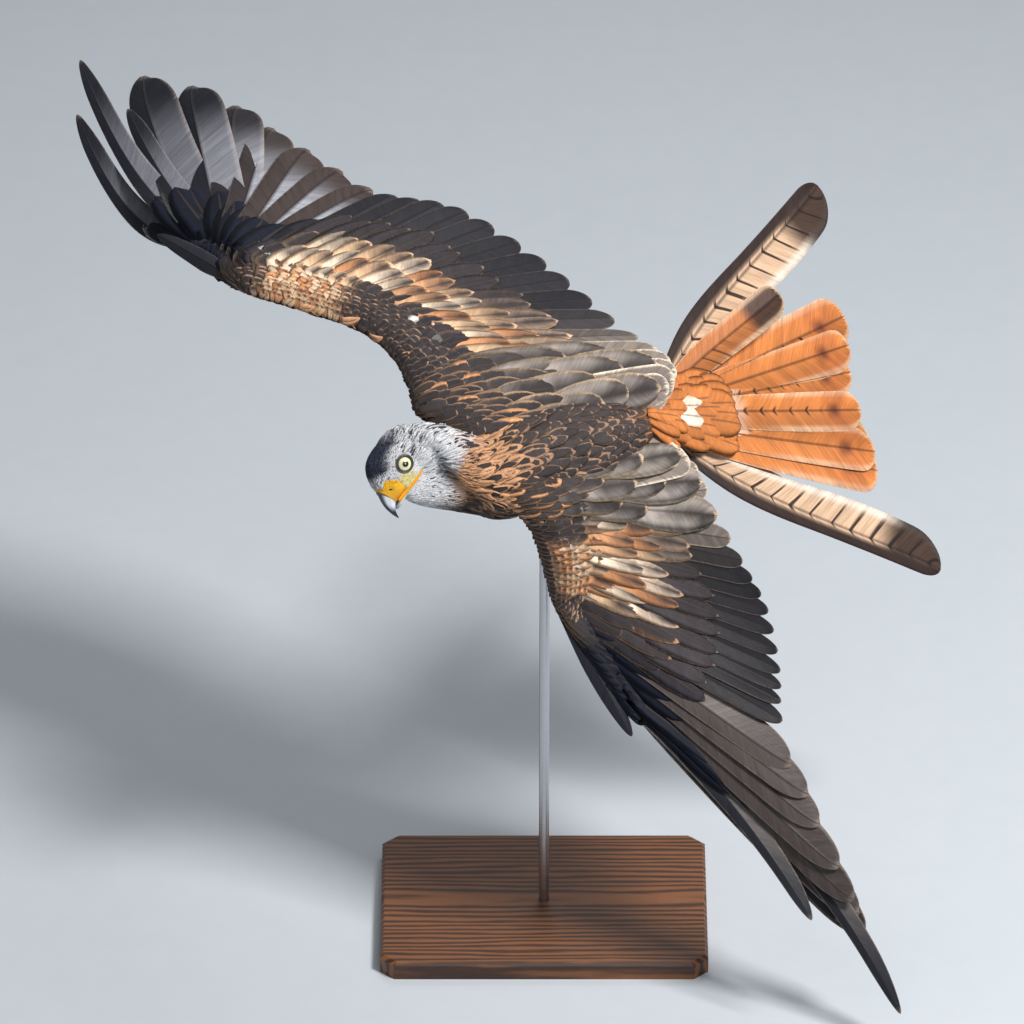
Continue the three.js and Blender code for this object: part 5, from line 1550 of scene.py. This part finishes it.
def lidPiece():
    groups, turn, angle = [], onceRound(72), onceRound(12)
    for side in (-1, 1):
        centre, axis = eyePlace(side)
        out = roundAxis(axis, turn)
        for lid in lids:
            slit = 1 - 0.06 * np.abs(np.sin(turn))
            brow = smooth(out @ head["up"] * 2) * 0.7
            line = centre + axis * 6.5 + out * (lid["radius"] * slit)[:, None]
            line = line + axis * (lid["height"] + brow)[:, None]
            ring = out[:, None] * np.cos(angle)[None, :, None] + axis * np.sin(angle)[None, :, None]
            rings = line[:, None] + ring * lid["thick"]
            groups.append((np.concatenate([rings, rings[:1]]), colours["lid"] * lid["pale"]))
    joinPieces("eyelids", groups, yellowLook, ["head"])


def eyePiece(name, side):
    centre, axis = eyePlace(side)
    reach = np.array([0, 1, 2, 2.6, 2.8, 3, 3.4, 4.2, 5, 5.7, 6, 6.25, 6.5, 7.2, 8.2, 9.2])
    theta = np.concatenate([np.arcsin(reach / 10), np.linspace(1.45, math.pi, 12)])
    out = roundAxis(axis, onceRound(64))
    shape = eye["radius"] + eye["bulge"] * np.exp(-((theta / 0.5) ** 2))
    rings = axis * np.cos(theta)[:, None, None] + out[None] * np.sin(theta)[:, None, None]
    d = np.where(theta < 1.5, np.sin(theta) * 10, 10)  # mm from the axis: pupil, iris, dark rim
    tone = blend(linear(6, 6, 8), linear(230, 225, 176), smooth((d - eye["pupil"]) / 0.35))
    tone = blend(tone, linear(190, 178, 112), smooth((d - 3.1) / 0.2) * smooth((4.0 - d) / 0.8) * 0.6)
    tone = blend(tone, linear(20, 18, 18), smooth((d - eye["iris"]) / 0.5))
    thing = loftPiece(name + "Eye", centre + rings * shape[:, None, None])
    setColour(thing, "tint", np.repeat(tone, 64, axis=0))
    finishPiece(thing, eyeLook, ["eye_" + name])


def eyeMaterial():
    material, tree, surface = startMaterial("eyeball", Roughness=0.3, Coat_Weight=1.0, Coat_Roughness=0.02)
    fleck = rampOf(tree, noiseOf(tree, placeOf(tree), 2600, 4, 0.7), 0.35, 0.65, 0.78, 1.12)
    tree.links.new(shaded(tree, attribute(tree, "tint", "Color"), fleck), surface.inputs["Base Color"])
    return material


eyeLook = eyeMaterial()
cerePiece()
billPiece("upperBill", billSections, "bill_upper", 1.0)
billPiece("lowerBill", lowerSections, "bill_lower", 0.5)
nostrilPiece()
gapePiece()
lidPiece()
for name, side in sides:
    eyePiece(name, side)

# The feet, clenched under the tail
foot = {
    "shank": [[-70, 18, -43], [-95, 17, -43], [-117, 16, -43]],  # ahead, out and up on the body's axes
    "shankThick": [3.8, 3.3, 3.9],
    "toes": [(-5, 27, 10), (0, 31, 12), (5, 26, 10), (1, -16, 9)],  # across, reach back, curl down
    "bends": [[0, 0], [0.6, -0.1], [0.95, 0.6], [1, 1.1], [0.86, 1.6]],  # shares of reach and curl
    "toeThick": [3.1, 2.7, 2.2, 1.4, 0.25],
    "clawFrom": 37,
}


def footPiece(name, side):
    hint, claw = body["right"] + head["ahead"], foot["clawFrom"]
    shank = [onAxes(body, a, side * r, u) for a, r, u in foot["shank"]]
    flesh, claws = [(rodRings(shank, foot["shankThick"], 30, 20, hint), colours["yellow"] * 0.9)], []
    back, out, up = foot["shank"][-1]
    for across, reach, curl in foot["toes"]:
        bends = [onAxes(body, back - reach * share, side * (out + across * (0.5 + share)), up - curl * drop)
                 for share, drop in foot["bends"]]
        whole = rodRings(bends, foot["toeThick"], 60, 18, hint)
        knuckles = 1 + 0.1 * np.sin(np.arange(60) / 59 * 4 * 5.5)[:, None, None]
        middle = whole.mean(1, keepdims=True)
        away = whole - middle
        flesh.append(((middle + away * knuckles)[:claw + 3], colours["yellow"]))
        claws.append(((middle + away * 0.86)[claw:], colours["hornDark"] * 0.6))
    joinPieces(name + "Foot", flesh, scaleLook, ["foot_" + name])
    joinPieces(name + "Claws", claws, hornLook, ["foot_" + name])


for name, side in sides:
    footPiece(name, side)
print("head, feet and bill made")


# The stand keeps its own solids and gets a finish
def woodMaterial():
    material, tree, surface = startMaterial("standWood", Roughness=0.38)
    place = placeOf(tree, (3, 26, 26))
    waves = {"Vector": place, "Scale": 1.6, "Distortion": 7.0, "Detail": 3.0}
    rings = node(tree, "ShaderNodeTexWave", waves, wave_type="RINGS").outputs["Fac"]
    grain = noiseOf(tree, place, 14, 6, 0.7)
    tone = plus(tree, times(tree, rings, 0.6), times(tree, grain, 0.5))
    colour = blendOf(tree, rampOf(tree, tone, 0.2, 0.9), rgba(linear(58, 34, 20)), rgba(linear(128, 80, 46)))
    finishSurface(tree, surface, colour, grain, 0.25, 0.0004)
    return material


def steelMaterial():
    material, tree, surface = startMaterial("standSteel", Base_Color=rgba(linear(190, 192, 196)), Metallic=1.0)
    brushed = noiseOf(tree, placeOf(tree, (1, 1, 60)), 60, 4, 0.7)
    tree.links.new(rampOf(tree, brushed, 0.2, 0.8, 0.22, 0.42), surface.inputs["Roughness"])
    finishSurface(tree, surface, None, brushed, 0.15, 0.0001)
    return material


for name, look in (("stand_base", woodMaterial()), ("stand_rod", steelMaterial())):
    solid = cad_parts[name]
    solid.data.materials.clear()
    solid.data.materials.append(look)
print("stand finished")

# The stage, the light and the camera
floorLook, floorTree, floorSurface = startMaterial("floorPaint", Roughness=0.8)
speckle = noiseOf(floorTree, placeOf(floorTree), 30, 4)
floorTree.links.new(blendOf(floorTree, speckle, (0.52, 0.55, 0.58, 1), (0.55, 0.58, 0.61, 1)),
                    floorSurface.inputs["Base Color"])
bpy.ops.mesh.primitive_plane_add(size=30)
floor = bpy.context.object
floor.name = "floor"
floor.data.materials.append(floorLook)

lights = [
    {"name": "key", "from": (0.5, 0.5, 0.72), "away": 3.4, "size": 0.8, "power": 150},
    {"name": "fill", "from": (0.1, 0.2, 0.95), "away": 3.6, "size": 2.4, "power": 16},
    {"name": "rim", "from": (0.1, 0.95, -0.1), "away": 2.6, "size": 1.2, "power": 20},
]
aim = toWorld(np.array([-30.0, 0, 0]))
for light in lights:
    lamp = bpy.data.lights.new(light["name"], "AREA")
    lamp.size = light["size"]
    lamp.energy = light["power"]
    holder = bpy.data.objects.new(light["name"], lamp)
    holder.location = aim + bankTurn @ unit(np.array(light["from"], float)) * light["away"]
    holder.rotation_euler = (Vector(aim) - holder.location).to_track_quat("-Z", "Y").to_euler()
    bpy.context.scene.collection.objects.link(holder)
world = bpy.data.worlds.new("studio")
world.use_nodes = True
world.node_tree.nodes["Background"].inputs[0].default_value = (0.82, 0.9, 1, 1)
world.node_tree.nodes["Background"].inputs[1].default_value = 0.24
bpy.context.scene.world = world
bpy.context.scene.view_settings.view_transform = "Standard"

view = {"target": [-46.1, -78.7, 0], "distance": 10000, "frameWidth": 983}  # mm, in the flight frame
lens = bpy.data.cameras.new("camera")
lens.sensor_width = 36
lens.lens = 36 * view["distance"] / view["frameWidth"]
lens.clip_end = 60
camera = bpy.data.objects.new("camera", lens)
camera.location = toWorld(np.array(view["target"]) + np.array([0, 0, view["distance"]]))
camera.rotation_euler = (bank, 0, 0)
bpy.context.scene.collection.objects.link(camera)
bpy.context.scene.camera = camera
print("stage, lights and camera set")
